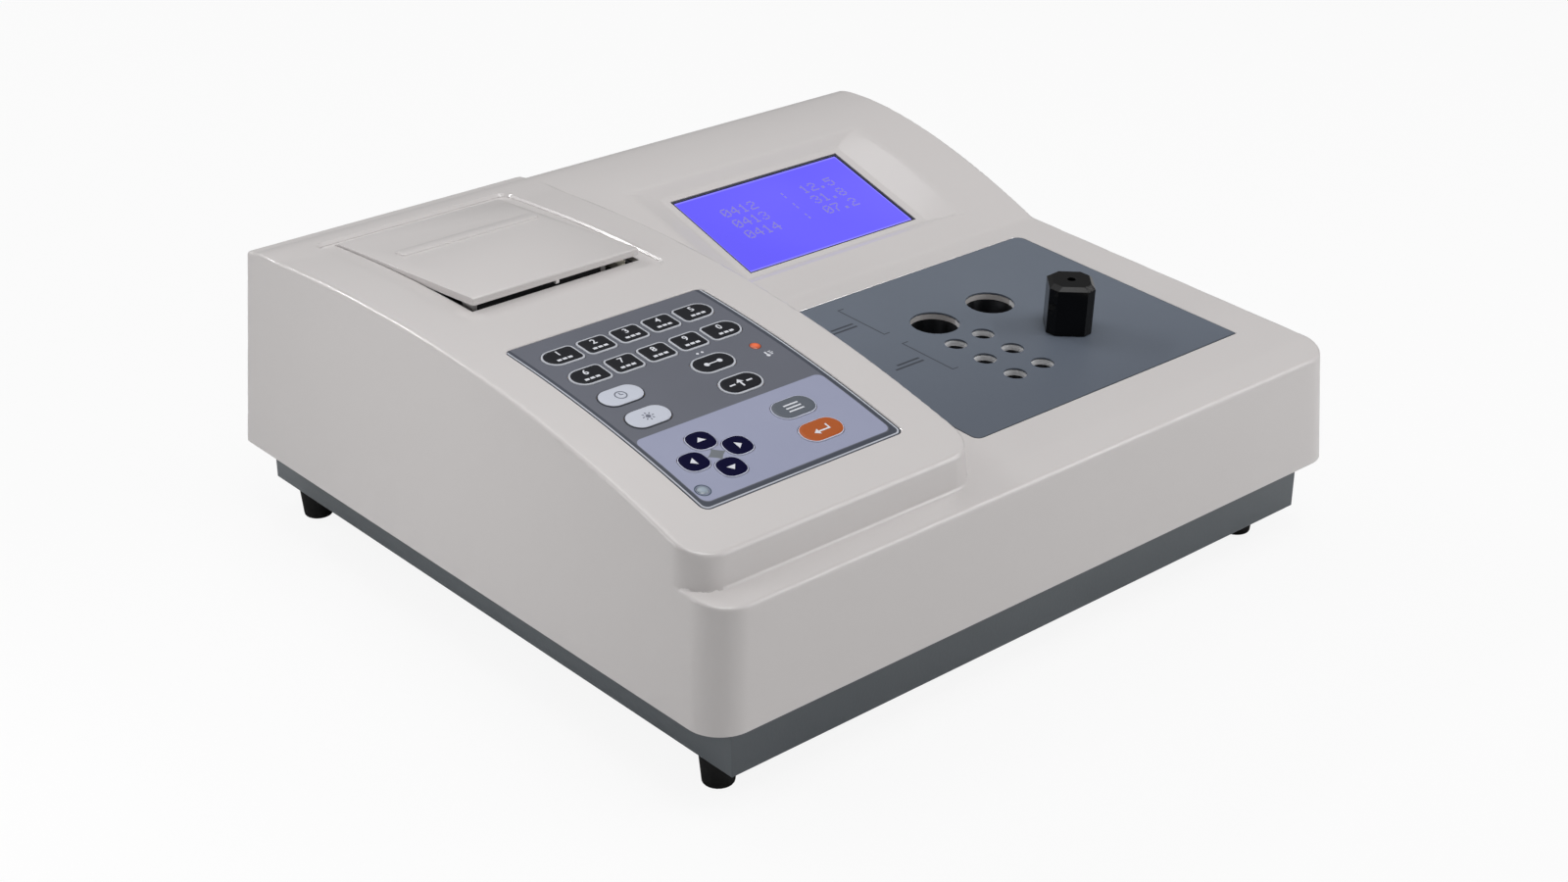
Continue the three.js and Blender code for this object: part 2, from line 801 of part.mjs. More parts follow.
function makeUpperCase() {
  const hollow = cut(caseBody(case_wall), screenRecess(case_wall));
  const screenPosts = [-1, 1].flatMap((side) => [-1, 1].map((end) => {
    const x = side * well_half_width;
    const y = end * well_half_height;
    return onScreen(rodZ(post_radius, clearance - bezel_depth, -case_wall / 2, x, y));
  }));
  const shell = joined(cut(caseBody(0), hollow), ...caseBosses(), ...screenPosts);
  const slotY = tail_slot / 2;
  const rearLow = -overrun;
  const rearHigh = panel_height - panel_lap;
  const tools = [
    screenRecess(0),
    onScreen(box(-bezel_width / 2 - clearance, bezel_width / 2 + clearance,
      -bezel_height / 2 - clearance, bezel_height / 2 + clearance, -2 * case_wall, overrun)),
    keypadBand(0, -pocket_depth, overrun),
    box(tail_left - clearance, tail_right + clearance, tail_y - slotY, tail_y + slotY, deck_height, column_height),
    printerPocket(),
    box(bay_left, bay_right, bay_front, bay_rear, deck_height, column_height + overrun),
    onDeck(roundedPlate(deck_panel_left, deck_panel_right, deck_panel_front, deck_panel_rear,
      deck_panel_corners, -deck_pocket, overrun)),
    ...wellTools(0, -2 * case_wall, -2 * case_wall, -2 * case_wall, overrun).map(onDeck),
    box(panel_left + panel_lap, panel_right - panel_lap, case_depth - 2 * case_wall - boss_radius,
      case_depth + overrun, rearLow, rearHigh),
    ...Object.values(foot_places).map(([x, y]) =>
      rodZ(screw_radius + clearance, -chassis_drop, screw_bite + clearance + chassis_floor_top, x, y)),
  ];
  return cut(shell, ...tools);
}

// Chassis
function makeChassis() {
  const right = case_width - chassis_side;
  const floor = -chassis_drop;
  const outer = box(chassis_side, right, chassis_front, chassis_rear, floor, chassis_rise);
  const inner = box(chassis_side + sheet, right - sheet, chassis_front + sheet, chassis_rear - sheet,
    floor + sheet, chassis_rise + overrun);
  const rearNotch = box(0, case_width, flange_rear, chassis_rear + overrun, -clearance, chassis_rise + overrun);
  const tray = cut(cut(outer, inner), rearNotch);
  const reach = case_wall + flange_gap;
  const rimCorner = front_corner - reach;
  const flangePlate = roundedPlate(reach, case_width - reach, reach, flange_rear,
    [sheet, sheet, rimCorner, rimCorner], chassis_rise - sheet, chassis_rise);
  const flange = cut(flangePlate, box(chassis_side + sheet / 2, right - sheet / 2, chassis_front + sheet / 2,
    flange_rear + overrun, 0, chassis_rise + overrun));
  const panel = box(panel_left, panel_right, chassis_rear - sheet, chassis_rear, floor, panel_height);
  const studs = [
    ...studPlaces(main_left, main_front, main_width, main_depth),
    ...studPlaces(supply_left, supply_front, supply_width, supply_depth),
  ].map(([x, y]) => rodZ(stud_radius, chassis_floor_top - sheet / 2, chassis_floor_top + stud_height, x, y));
  const body = joined(tray, flange, panel, ...studs);
  const vents = [];
  const ventRight = panel_right - 2 * panel_lap;
  const ventLeft = ventRight - vent_length_share * (ventRight - serial_x - serial_flange_width / 2 - 2 * panel_lap);
  for (let i = 0; i < vent_count; i += 1) {
    const z = socket_level + (i - (vent_count - 1) / 2) * vent_pitch - vent_width / 2;
    vents.push(box(ventLeft, ventRight, chassis_rear - 2 * sheet, chassis_rear + overrun, z, z + vent_width));
  }
  const panelCut = (x, width, height, z = socket_level) => box(x - width / 2 - clearance, x + width / 2 + clearance,
    chassis_rear - 2 * sheet, chassis_rear + overrun, z - height / 2 - clearance, z + height / 2 + clearance);
  const holes = [
    ...vents,
    panelCut(inlet_x, inlet_width, inlet_height + drawer_height, inlet_body_z),
    panelCut(switch_x, switch_width, switch_height),
    panelCut(serial_x, serial_width, serial_height),
    ...Object.values(foot_places).map(([x, y]) =>
      rodZ(screw_radius + clearance, floor - overrun, chassis_floor_top + overrun, x, y)),
  ];
  return cut(body, ...holes);
}

function studPlaces(left, front, width, depth) {
  const xs = [left + stud_inset, left + width - stud_inset];
  const ys = [front + stud_inset, front + depth - stud_inset];
  return xs.flatMap((x) => ys.map((y) => [x, y]));
}

const inlet_body_z = socket_level - drawer_height / 2;

// Feet and their screws, about their own axis with z = 0 at the chassis' underside
function makeFoot() {
  const hole = screw_radius + clearance;
  const recess = screw_head_radius + clearance;
  const rounding = [];
  for (let i = 0; i <= arc_steps; i += 1) {
    const angle = -Math.PI / 2 * (1 - i / arc_steps);
    rounding.push(new THREE.Vector2(
      foot_bottom_radius - foot_edge + foot_edge * Math.cos(angle),
      foot_edge - foot_height + foot_edge * Math.sin(angle)));
  }
  const profile = [
    new THREE.Vector2(hole, 0),
    new THREE.Vector2(hole, screw_recess - foot_height),
    new THREE.Vector2(recess, screw_recess - foot_height),
    new THREE.Vector2(recess, -foot_height),
    ...rounding,
    new THREE.Vector2(foot_top_radius, 0),
    new THREE.Vector2(hole, 0),
  ];
  return new THREE.LatheGeometry(profile, round_sides).rotateX(Math.PI / 2);
}

function makeFootScrew() {
  const seat = screw_recess - foot_height - clearance;
  const tip = sheet + screw_bite - clearance;
  const profile = [
    new THREE.Vector2(0, seat - screw_head_height),
    new THREE.Vector2(screw_head_radius, seat - screw_head_height),
    new THREE.Vector2(screw_head_radius, seat),
    new THREE.Vector2(screw_radius, seat),
    new THREE.Vector2(screw_radius, tip - screw_radius),
    new THREE.Vector2(0, tip),
  ];
  return new THREE.LatheGeometry(profile, small_sides).rotateX(Math.PI / 2);
}

// Keypad
function makeMembrane() {
  const sheetBody = keypadBand(clearance, -membrane_set - membrane, -membrane_set);
  const windows = pad_outlines.map(({ x, y, outline }) =>
    onColumn(prismZ(shapeOf(outline(clearance)), -pocket_depth, overrun), x, y));
  const lamps = lampPlaces.map(([x, y]) =>
    onColumn(rodZ(lamp_radius + clearance, -pocket_depth, overrun, 0, 0, round_sides), x, y));
  return cut(sheetBody, ...windows, ...lamps);
}

const lampPlaces = [[lamp_x, lamp_y], [power_lamp_x, power_lamp_y]];

function makeCircuit() {
  const low = -circuit_set - circuit;
  const plate = keypadBand(2 * clearance, low, -circuit_set);
  const top = heightAt(column_line, tail_y) + (low - circuit_set) / 2;
  const bottom = main_board_top + tail_thickness;
  const front = [];
  for (let i = 0; i <= tail_steps; i += 1) {
    const share = i / tail_steps;
    const sway = tail_sway * (1 - Math.cos(2 * Math.PI * share)) / 2;
    front.push([tail_y + sway, bottom + (top - bottom) * share]);
  }
  const back = front.map(([y, z]) => [y + tail_thickness, z]).reverse();
  return joined(plate, prismX([...back, ...front].reverse(), tail_left, tail_right));
}

function makeKeyPad(outline) {
  return prismZ(shapeOf(outline(0)), key_stand - key_thickness, key_stand);
}

function makeLampLens() {
  return rodZ(lamp_radius, -lamp_depth, 0, 0, 0, round_sides);
}

// Printer
const tub_left = bay_left + clearance;
const tub_right = bay_right - clearance;
const tub_front = bay_front + clearance;
const tub_rear = bay_rear - clearance;
const cover_left = bay_left + cover_side_gap;
const cover_right = bay_right - cover_side_gap;
const gear_right = tub_right - tub_wall - running_gap * 2;
const gear_left = gear_right - gear_width;
const pitch_sum = gear_module * (platen_teeth + motor_teeth) / 2;
const motor_z = platen_z - pitch_sum - gear_backlash;
const shelf_top = platen_z - platen_radius - clearance - head_height - clearance;
const platen_right = platen_left + platen_length;
const ear_gap = running_gap;
const ear_left = platen_left - ear_gap - ear_width;
const ear_right = platen_right + ear_gap;

// The cover's lower face, as [y, z] points from its front edge to above the hinge
const rearTop = hinge_z + knuckle_radius;
const cover_front = tub_front - clearance;
const cover_under = [
  [cover_front, cover_front_z - cover_thickness],
  [hinge_y, rearTop - cover_thickness + clearance],
];

function makeTub() {
  const outer = box(tub_left, tub_right, tub_front, tub_rear, tub_low, tub_high);
  const flange = box(tub_left - tub_flange, tub_right + tub_flange, tub_front - tub_flange,
    tub_rear + tub_flange, tub_flange_z - tub_wall, tub_flange_z);
  const inner = box(tub_left + tub_wall, tub_right - tub_wall, tub_front + tub_wall, tub_rear - tub_wall,
    tub_low + tub_wall, tub_high + overrun);
  const shelfFront = tub_front + tub_wall / 2;
  const shelfRear = tub_front + shelf_depth;
  const shelf = box(tub_left + tub_wall / 2, ear_right - clearance, shelfFront, shelfRear,
    shelf_top - tub_wall, shelf_top);
  const web = box(ear_right - clearance - tub_wall, ear_right - clearance, shelfFront, shelfRear,
    tub_low + tub_wall / 2, shelf_top);
  const lug = (x0) => joined(
    rodX(knuckle_radius, x0, x0 + tub_wall, hinge_y, hinge_z),
    box(x0, x0 + tub_wall, hinge_y - knuckle_radius, tub_rear - tub_wall / 2,
      hinge_z - 3 * knuckle_radius, hinge_z));
  const notch = (x0, x1) => box(x0, x1, roll_y - spindle_end - clearance, roll_y + spindle_end + clearance,
    roll_z - spindle_end - clearance, tub_high + overrun);
  const [[underFront, underFrontZ], [underRear, underRearZ]] = cover_under;
  const overCover = prismX([
    [underFront - tub_wall, underFrontZ - running_gap],
    [underRear, underRearZ - running_gap],
    [tub_rear + overrun, underRearZ - running_gap],
    [tub_rear + overrun, cover_front_z],
    [underFront - tub_wall, cover_front_z],
  ], bay_left, bay_right);
  const motorGap = motor_radius * motor_lug_share + clearance;
  const tools = [
    overCover,
    box(bay_left, bay_right, tub_rear - tub_wall - overrun, tub_rear,
      hinge_z - knuckle_radius - 2 * running_gap, tub_high + overrun),
    box(tub_right, tub_right + tub_flange + overrun, platen_y - motorGap, platen_y + motorGap,
      tub_flange_z - 2 * tub_wall, tub_high),
    notch(tub_left - overrun, tub_left + tub_wall + overrun / 2),
    notch(tub_right - tub_wall - overrun / 2, tub_right + overrun),
    rodX(shaft_radius + running_fit, gear_right, tub_right + overrun, platen_y, motor_z),
  ];
  const pinHole = rodX(pin_radius + running_fit, tub_left + tub_wall, tub_right - tub_wall, hinge_y, hinge_z);
  const body = cut(joined(cut(joined(outer, flange), inner), shelf, web), ...tools);
  return cut(joined(body, ...hingeLugs().map(lug)), pinHole);
}

// The tub's lugs stand outside the cover's two knuckles
function hingeLugs() {
  const inset = tub_wall + knuckle_length + 3 * running_gap + tub_wall;
  return [tub_left + inset, tub_right - inset - tub_wall];
}

function coverKnuckles() {
  const [leftLug, rightLug] = hingeLugs();
  return [
    [leftLug - running_gap - knuckle_length, leftLug - running_gap],
    [rightLug + tub_wall + running_gap, rightLug + tub_wall + running_gap + knuckle_length],
  ];
}

function makeCover() {
  const front = cover_front;
  const [[, underFrontZ]] = cover_under;
  const plateProfile = [
    ...cover_under,
    [hinge_y, rearTop],
    [front + cover_edge, cover_front_z],
    [front, cover_front_z - cover_edge],
  ];
  const plate = prismX(plateProfile, cover_left, cover_right);
  const middle = (cover_left + cover_right) / 2;
  const gripTop = cover_front_z + (rearTop - cover_front_z) * (grip_y - front) / (hinge_y - front);
  const grip = box(middle - grip_width / 2, middle + grip_width / 2, grip_y - grip_depth / 2,
    grip_y + grip_depth / 2, gripTop - cover_thickness / 2, gripTop + grip_height);
  const knuckles = coverKnuckles().map(([x0, x1]) => rodX(knuckle_radius, x0, x1, hinge_y, hinge_z));
  const ears = [ear_left, ear_right].map((x) => joined(
    rodX(ear_radius, x, x + ear_width, platen_y, platen_z),
    box(x, x + ear_width, platen_y - ear_radius, platen_y + ear_radius, platen_z, underFrontZ + clearance)));
  const nub = box(middle - lip_nub_width / 2, middle + lip_nub_width / 2, front, front + cover_edge,
    heightAt(column_line, bay_front), cover_front_z - cover_thickness / 2);
  const body = joined(plate, grip, nub, ...knuckles, ...ears);
  const lugSlots = hingeLugs().map((x) => box(x - running_gap, x + tub_wall + running_gap,
    hinge_y - knuckle_radius - 2 * running_gap, hinge_y + overrun, hinge_z - overrun, cover_front_z));
  const pinHole = rodX(pin_radius + running_fit, cover_left - overrun, cover_right + overrun, hinge_y, hinge_z);
  const shaftHole = rodX(shaft_radius + running_fit, ear_left - overrun, gear_left, platen_y, platen_z);
  return cut(body, ...lugSlots, pinHole, shaftHole);
}

function makeHingePin() {
  const ends = coverKnuckles();
  return rodX(pin_radius, ends[0][0] - running_gap, ends[1][1] + running_gap, hinge_y, hinge_z);
}

function makePlaten() {
  const roller = rodX(platen_radius, platen_left, platen_right, platen_y, platen_z, round_sides);
  const shaft = rodX(shaft_radius, ear_left - ear_gap, gear_left - clearance / 2, platen_y, platen_z);
  return joined(roller, shaft);
}

// A spur gear's outline: straight-sided teeth, thinner than their gaps, first tooth at the start angle
function gearOutline(teeth, startAngle) {
  const pitchRadius = gear_module * teeth / 2;
  const root = pitchRadius - gear_module * tooth_root_share;
  const tip = pitchRadius + gear_module * tooth_tip_share;
  const pitchAngle = 2 * Math.PI / teeth;
  const halfPitch = tooth_share * pitchAngle / 2;
  const halfTip = halfPitch / 2;
  const halfRoot = halfPitch * tooth_base_share;
  const points = [];
  for (let i = 0; i < teeth; i += 1) {
    const middle = startAngle + i * pitchAngle;
    for (const [radius, angle] of [[root, -halfRoot], [tip, -halfTip], [tip, halfTip], [root, halfRoot]]) {
      points.push([radius * Math.cos(middle + angle), radius * Math.sin(middle + angle)]);
    }
  }
  return points;
}

function makePlatenGear() {
  const outline = gearOutline(platen_teeth, 0).map(([y, z]) => [y + platen_y, z + platen_z]);
  return prismX(outline, gear_left, gear_right);
}

function makeMotorGear() {
  const outline = gearOutline(motor_teeth, Math.PI / motor_teeth).map(([y, z]) => [y + platen_y, z + motor_z]);
  const gear = prismX(outline, gear_left, gear_right);
  const shaft = rodX(shaft_radius, gear_right - gear_width / 2, tub_right + clearance, platen_y, motor_z);
  return joined(gear, shaft);
}

function makeMotor() {
  const start = tub_right + 2 * clearance;
  const can = rodX(motor_radius, start, start + motor_length, platen_y, motor_z, round_sides);
  const reach = motor_radius * motor_lug_share;
  const lug = box(start, start + sheet, platen_y - reach, platen_y + reach,
    motor_z - shaft_radius * 2, motor_z + shaft_radius * 2);
  return joined(can, lug);
}

function makePrintHead() {
  const top = platen_z - platen_radius - clearance;
  const front = tub_front + tub_wall + clearance;
  const right = platen_right - overrun;
  const sink = box(platen_left, right, front, front + head_depth, shelf_top + clearance, top - head_chip);
  const chip = box(platen_left, right, platen_y - 2 * head_chip, platen_y + 2 * head_chip, top - 2 * head_chip, top);
  return joined(sink, chip);
}

function makeRoll() {
  const left = (tub_left + tub_right - roll_length) / 2;
  const body = rodX(roll_radius, left, left + roll_length, roll_y, roll_z, round_sides);
  return cut(body, rodX(roll_core, left - overrun, left + roll_length + overrun, roll_y, roll_z, round_sides));
}

function makeSpindle() {
  const left = tub_left + tub_wall + running_gap;
  const right = tub_right - tub_wall - running_gap;
  const bar = rodX(spindle_radius, left, right, roll_y, roll_z, round_sides);
  const ends = rodX(spindle_end, tub_left, tub_right, roll_y, roll_z);
  return joined(bar, ends);
}

// Screen, in its own frame
function makePane() {
  const x = bezel_width / 2 - bezel_border - clearance;
  const y = bezel_height / 2 - bezel_border - clearance;
  const top = -2 * clearance;
  return box(-x, x, -y, y, top - pane_thickness, top);
}

function makeScreenModule() {
  const x = bezel_width / 2;
  const y = bezel_height / 2;
  const top = -clearance;
  const bezel = box(-x, x, -y, y, -bezel_depth - clearance, top);
  const window = box(bezel_border - x, x - bezel_border, bezel_border - y, y - bezel_border,
    -3 * clearance - pane_thickness, overrun);
  const boardTop = -bezel_depth;
  const board = box(-module_width / 2, module_width / 2, -module_height / 2, module_height / 2,
    boardTop - board_thickness, boardTop);
  const chips = box(-x / 2, x / 2, -y / 2, y / 2, boardTop - board_thickness - module_part, boardTop - board_thickness / 2);
  return joined(cut(bezel, window), board, chips);
}

// Deck panel, heated block and its optics, in the deck's frame
function makeDeckPanel() {
  const plate = roundedPlate(deck_panel_left + clearance, deck_panel_right - clearance,
    deck_panel_front + clearance, deck_panel_rear - clearance, deck_panel_corners.map((radius) => radius - clearance),
    clearance - deck_pocket, clearance - deck_pocket + deck_panel_thickness);
  return cut(plate, ...wellTools(0, -case_wall, -case_wall, -case_wall, overrun));
}

const block_top = -case_wall - clearance;
const block_low = block_top - block_height;
const lens_z = block_top - lens_level;

function makeBlock() {
  const body = box(block_left, block_right, block_front, block_rear, block_low, block_top);
  const wells = wellTools(0, block_top - optic_depth, block_top - sample_depth, block_top - reagent_depth, block_top + overrun);
  const emitterBore = rodX(lens_bore, optic_x, block_right + overrun, optic_row, lens_z);
  const detectorBore = rodY(lens_bore, block_front - overrun, optic_row, optic_x, lens_z);
  return cut(body, ...wells, emitterBore, detectorBore);
}

function makeEmitter() {
  const start = block_right + clearance;
  const tube = rodX(emitter_radius, optic_x + optic_radius + clearance, start + overrun, optic_row, lens_z);
  const flange = box(start, start + overrun, optic_row - emitter_flange, optic_row + emitter_flange,
    lens_z - emitter_flange, lens_z + emitter_flange);
  return joined(tube, flange);
}

function makeDetector() {
  const start = block_front - clearance;
  const tube = rodY(emitter_radius, start - overrun, optic_row - optic_radius - clearance, optic_x, lens_z);
  const board = box(optic_x - 2 * emitter_flange, optic_x + 2 * emitter_flange, start - overrun, start,
    lens_z - 2 * emitter_flange, lens_z + 2 * emitter_flange);
  return joined(tube, board);
}

function makeHeaterMat() {
  const top = block_low - clearance;
  return box(block_left + sheet, block_right - sheet, block_front + sheet, block_rear - sheet, top - mat_thickness, top);
}

// The stand is folded sheet: a top plate in the deck's tilt, two legs and two feet on the chassis floor
function makeStand() {
  const top = block_low - 2 * clearance - mat_thickness;
  const turn = new THREE.Matrix4().makeRotationX(radians(deck_tilt)).setPosition(0, ledge_depth, deck_height);
  const point = (y, z) => {
    const place = new THREE.Vector3(0, y, z).applyMatrix4(turn);
    return [place.y, place.z];
  };
  const low = chassis_floor_top + clearance;
  const [frontY] = point(block_front, top);
  const [rearY] = point(block_rear, top);
  const outline = [
    point(block_front, top),
    point(block_front, top - sheet),
    [frontY, low + sheet],
    [frontY - stand_leg, low + sheet],
    [frontY - stand_leg, low],
    [frontY + sheet, low],
    [frontY + sheet, point(block_front + sheet, top - sheet)[1]],
    [rearY - sheet, point(block_rear - sheet, top - sheet)[1]],
    [rearY - sheet, low],
    [rearY + stand_leg, low],
    [rearY + stand_leg, low + sheet],
    [rearY, low + sheet],
    point(block_rear, top - sheet),
    point(block_rear, top),
  ];
  const [, , ...rest] = outline;
  return prismX([outline[0], ...rest].reverse(), block_left + sheet, block_right - sheet);
}

// Cap, about its own axis with z = 0 on the deck panel's face
function makeCap() {
  const half = cap_width / 2;
  const level = (z, inset) => {
    const reach = half - inset;
    const edge = reach - cap_chamfer;
    const points = [
      [reach, edge], [edge, reach], [-edge, reach], [-reach, edge],
      [-reach, -edge], [-edge, -reach], [edge, -reach], [reach, -edge],
    ];
    return { z, points };
  };
  const body = loft([level(0, 0), level(cap_height - cap_bevel, 0), level(cap_height, cap_bevel)]);
  const bore = rodZ(cap_bore, -overrun, cap_bore_depth, 0, 0, round_sides);
  const port = rodZ(cap_port, 0, cap_height + overrun, 0, 0);
  return cut(body, bore, port);
}

// Electronics
const board_low = chassis_floor_top + stud_height + clearance;
const main_board_top = board_low + board_thickness;

function makeMainBoard() {
  const board = box(main_left, main_left + main_width, main_front, main_front + main_depth, board_low, main_board_top);
  const seat = main_board_top - board_thickness / 2;
  const unit = main_width / main_grid;
  const x = (step) => main_left + step * unit;
  const y = (step) => main_front + step * unit;
  const top = (step) => main_board_top + step * unit;
  const blocks = main_blocks.map(([x0, x1, y0, y1, high]) => box(x(x0), x(x1), y(y0), y(y1), seat, top(high)));
  const cans = main_cans.map(([radius, cx, cy, high]) => rodZ(radius * unit, seat, top(high), x(cx), y(cy), round_sides));
  const connector = box(tail_left - unit / 2, tail_right + unit / 2, tail_y - unit, tail_y + unit,
    seat, main_board_top + tail_thickness / 2);
  return joined(board, connector, ...blocks, ...cans);
}

function makePowerSupply() {
  const right = supply_left + supply_width;
  const rear = supply_front + supply_depth;
  const board = box(supply_left, right, supply_front, rear, board_low, main_board_top);
  const seat = main_board_top - board_thickness / 2;
  const unit = supply_width / supply_grid;
  const x = (step) => supply_left + step * unit;
  const y = (step) => supply_front + step * unit;
  const top = (step) => main_board_top + step * unit;
  const blocks = supply_blocks.map(([x0, x1, y0, y1, high]) => box(x(x0), x(x1), y(y0), y(y1), seat, top(high)));
  const cans = supply_cans.map(([radius, cx, cy, high]) => rodZ(radius * unit, seat, top(high), x(cx), y(cy), round_sides));
  return joined(board, ...blocks, ...cans);
}

// Sockets and switch
const panel_face = chassis_rear;

function makeInlet() {
  const halfX = inlet_width / 2;
  const halfZ = (inlet_height + drawer_height) / 2;
  const flangeX = halfX + inlet_flange;
  const flangeZ = halfZ + inlet_flange;
  const body = box(inlet_x - halfX, inlet_x + halfX, panel_face - inlet_depth, panel_face + inlet_flange,
    inlet_body_z - halfZ, inlet_body_z + halfZ);
  const flange = box(inlet_x - flangeX, inlet_x + flangeX, panel_face, panel_face + inlet_flange,
    inlet_body_z - flangeZ, inlet_body_z + flangeZ);
  const open = panel_face + inlet_flange + overrun;
  const cavity = box(inlet_x - inlet_cavity_width / 2, inlet_x + inlet_cavity_width / 2,
    panel_face - inlet_cavity_depth, open, socket_level - inlet_cavity_height / 2, socket_level + inlet_cavity_height / 2);
  const drawerBay = box(inlet_x - drawer_width / 2 - clearance, inlet_x + drawer_width / 2 + clearance,
    panel_face - drawer_depth - clearance, open, drawer_z - drawer_half - clearance, drawer_z + drawer_half + clearance);
  const pins = [[-1, -1], [1, -1], [0, 1]].map(([side, up]) => {
    const x = inlet_x + side * inlet_pin_pitch / 2;
    const z = socket_level + up * inlet_pin_height / 2;
    return box(x - inlet_pin_width / 2, x + inlet_pin_width / 2, panel_face - inlet_cavity_depth - clearance,
      panel_face - inlet_flange, z - inlet_pin_height / 2, z + inlet_pin_height / 2);
  });
  return joined(cut(joined(body, flange), cavity, drawerBay), ...pins);
}

const drawer_half = (drawer_height - inlet_flange) / 2;
const drawer_z = socket_level - inlet_cavity_height / 2 - inlet_flange - drawer_half;

function makeFuseDrawer() {
  const body = box(inlet_x - drawer_width / 2, inlet_x + drawer_width / 2, panel_face - drawer_depth,
    panel_face + inlet_flange, drawer_z - drawer_half, drawer_z + drawer_half);
  const slot = box(inlet_x - drawer_width / 6, inlet_x + drawer_width / 6, panel_face + inlet_flange / 2,
    panel_face + inlet_flange + overrun, drawer_z - drawer_half - overrun, drawer_z - drawer_half / 2);
  return cut(body, slot);
}

function makeSwitchFrame() {
  const halfX = switch_width / 2;
  const halfZ = switch_height / 2;
  const body = box(switch_x - halfX, switch_x + halfX, panel_face - switch_depth, panel_face + switch_flange / 2,
    socket_level - halfZ, socket_level + halfZ);
  const flangeX = halfX + switch_flange;
  const flangeZ = halfZ + switch_flange;
  const flange = box(switch_x - flangeX, switch_x + flangeX, panel_face, panel_face + switch_flange,
    socket_level - flangeZ, socket_level + flangeZ);
  const gap = running_gap;
  const opening = box(switch_x - rocker_width / 2 - gap, switch_x + rocker_width / 2 + gap,
    rocker_y - rocker_reach - 2 * gap, panel_face + switch_flange + overrun,
    socket_level - rocker_reach - 2 * gap, socket_level + rocker_reach + 2 * gap);
  return cut(joined(body, flange), opening);
}

const rocker_y = panel_face - rocker_pivot;

// The rocker's ends and back are one arc about its pivot; its face is two planes that meet in a valley
function makeRocker() {
  const face = rocker_pivot + switch_flange;
  const valley = face - rocker_reach * slope(rocker_swing) * rocker_valley_share;
  const edge = Math.sqrt(rocker_reach ** 2 - (face / 2) ** 2);
  const back = [];
  const start = Math.atan2(edge, face / 2);
  const end = 2 * Math.PI - start;
  for (let i = 0; i <= small_sides; i += 1) {
    const angle = start + (end - start) * i / small_sides;
    back.push([rocker_reach * Math.cos(angle), rocker_reach * Math.sin(angle)]);
  }
  const crest = edge * rocker_crest_share;
  const outline = [[valley, 0], [face, crest], ...back, [face, -crest]];
  return prismX(outline, -rocker_width / 2, rocker_width / 2).rotateX(radians(-rocker_swing));
}

function makeSerialPort() {
  const halfX = serial_width / 2;
  const halfZ = serial_height / 2;
  const inside = panel_face - sheet - clearance;
  const lean = halfZ * slope(serial_lean);
  const shell = prismZ(shapeOf([[halfX - lean * 2, -halfZ], [halfX, halfZ], [-halfX, halfZ], [lean * 2 - halfX, -halfZ]]),
    0, serial_stand + sheet + 2 * clearance + overrun);
  shell.rotateX(Math.PI / 2).rotateZ(Math.PI).translate(serial_x, inside - overrun, socket_level);
  const flange = box(serial_x - serial_flange_width / 2, serial_x + serial_flange_width / 2, inside - sheet, inside,
    socket_level - serial_flange_height / 2, socket_level + serial_flange_height / 2);
  const rearBody = box(serial_x - halfX, serial_x + halfX, inside - serial_depth, inside - sheet / 2,
    socket_level - halfZ, socket_level + halfZ);
  return joined(shell, flange, rearBody);
}

// Assembly
const machine = new THREE.Group();
const overall_depth = chassis_rear + serial_stand + clearance;
machine.position.set(-case_width / 2, -overall_depth / 2, chassis_drop + foot_height);

function place(parent, name, geometry, material) {
  const mesh = new THREE.Mesh(geometry, material);
  mesh.name = name;
  parent.add(mesh);
  return mesh;
}

place(machine, 'upper_case', makeUpperCase(), case_plastic);
place(machine, 'chassis_base', makeChassis(), chassis_paint);
for (const [corner, [x, y]] of Object.entries(foot_places)) {
  place(machine, `foot_${corner}`, makeFoot(), foot_rubber).position.set(x, y, -chassis_drop);
  place(machine, `foot_screw_${corner}`, makeFootScrew(), bright_steel).position.set(x, y, -chassis_drop);
}

place(machine, 'keypad_membrane', makeMembrane(), membrane_print);
place(machine, 'keypad_circuit', makeCircuit(), circuit_film);
for (const { name, x, y, outline, material } of pad_outlines) {
  const pad = place(machine, name, makeKeyPad(outline), material);
  pad.position.set(x, y, heightAt(column_line, y));
  pad.rotation.x = tiltAt(y, digit_height / 2);
}
const lampLenses = [['temperature_lamp', red_lens], ['power_lamp', gray_lens]];
lampLenses.forEach(([name, material], index) => {
  const [x, y] = lampPlaces[index];
  const lens = place(machine, name, makeLampLens(), material);
  lens.position.set(x, y, heightAt(column_line, y));
  lens.rotation.x = tiltAt(y, digit_height / 2);
});

place(machine, 'printer_tub', makeTub(), black_plastic);
place(machine, 'printer_cover', makeCover(), case_plastic);
place(machine, 'cover_hinge_pin', makeHingePin(), bright_steel);
place(machine, 'platen_roller', makePlaten(), platen_rubber);
place(machine, 'platen_gear', makePlatenGear(), gear_nylon);
place(machine, 'motor_gear', makeMotorGear(), gear_nylon);
place(machine, 'printer_motor', makeMotor(), bare_sheet);
place(machine, 'print_head', makePrintHead(), bare_sheet);
place(machine, 'paper_roll', makeRoll(), paper_white);
place(machine, 'paper_spindle', makeSpindle(), black_plastic);

const screen = new THREE.Group();
screen.position.set(screen_x, screen_y, screen_z);
screen.rotation.x = screen_tilt;
machine.add(screen);
place(screen, 'screen_pane', makePane(), screen_glass);
place(screen, 'screen_module', makeScreenModule(), black_plastic);

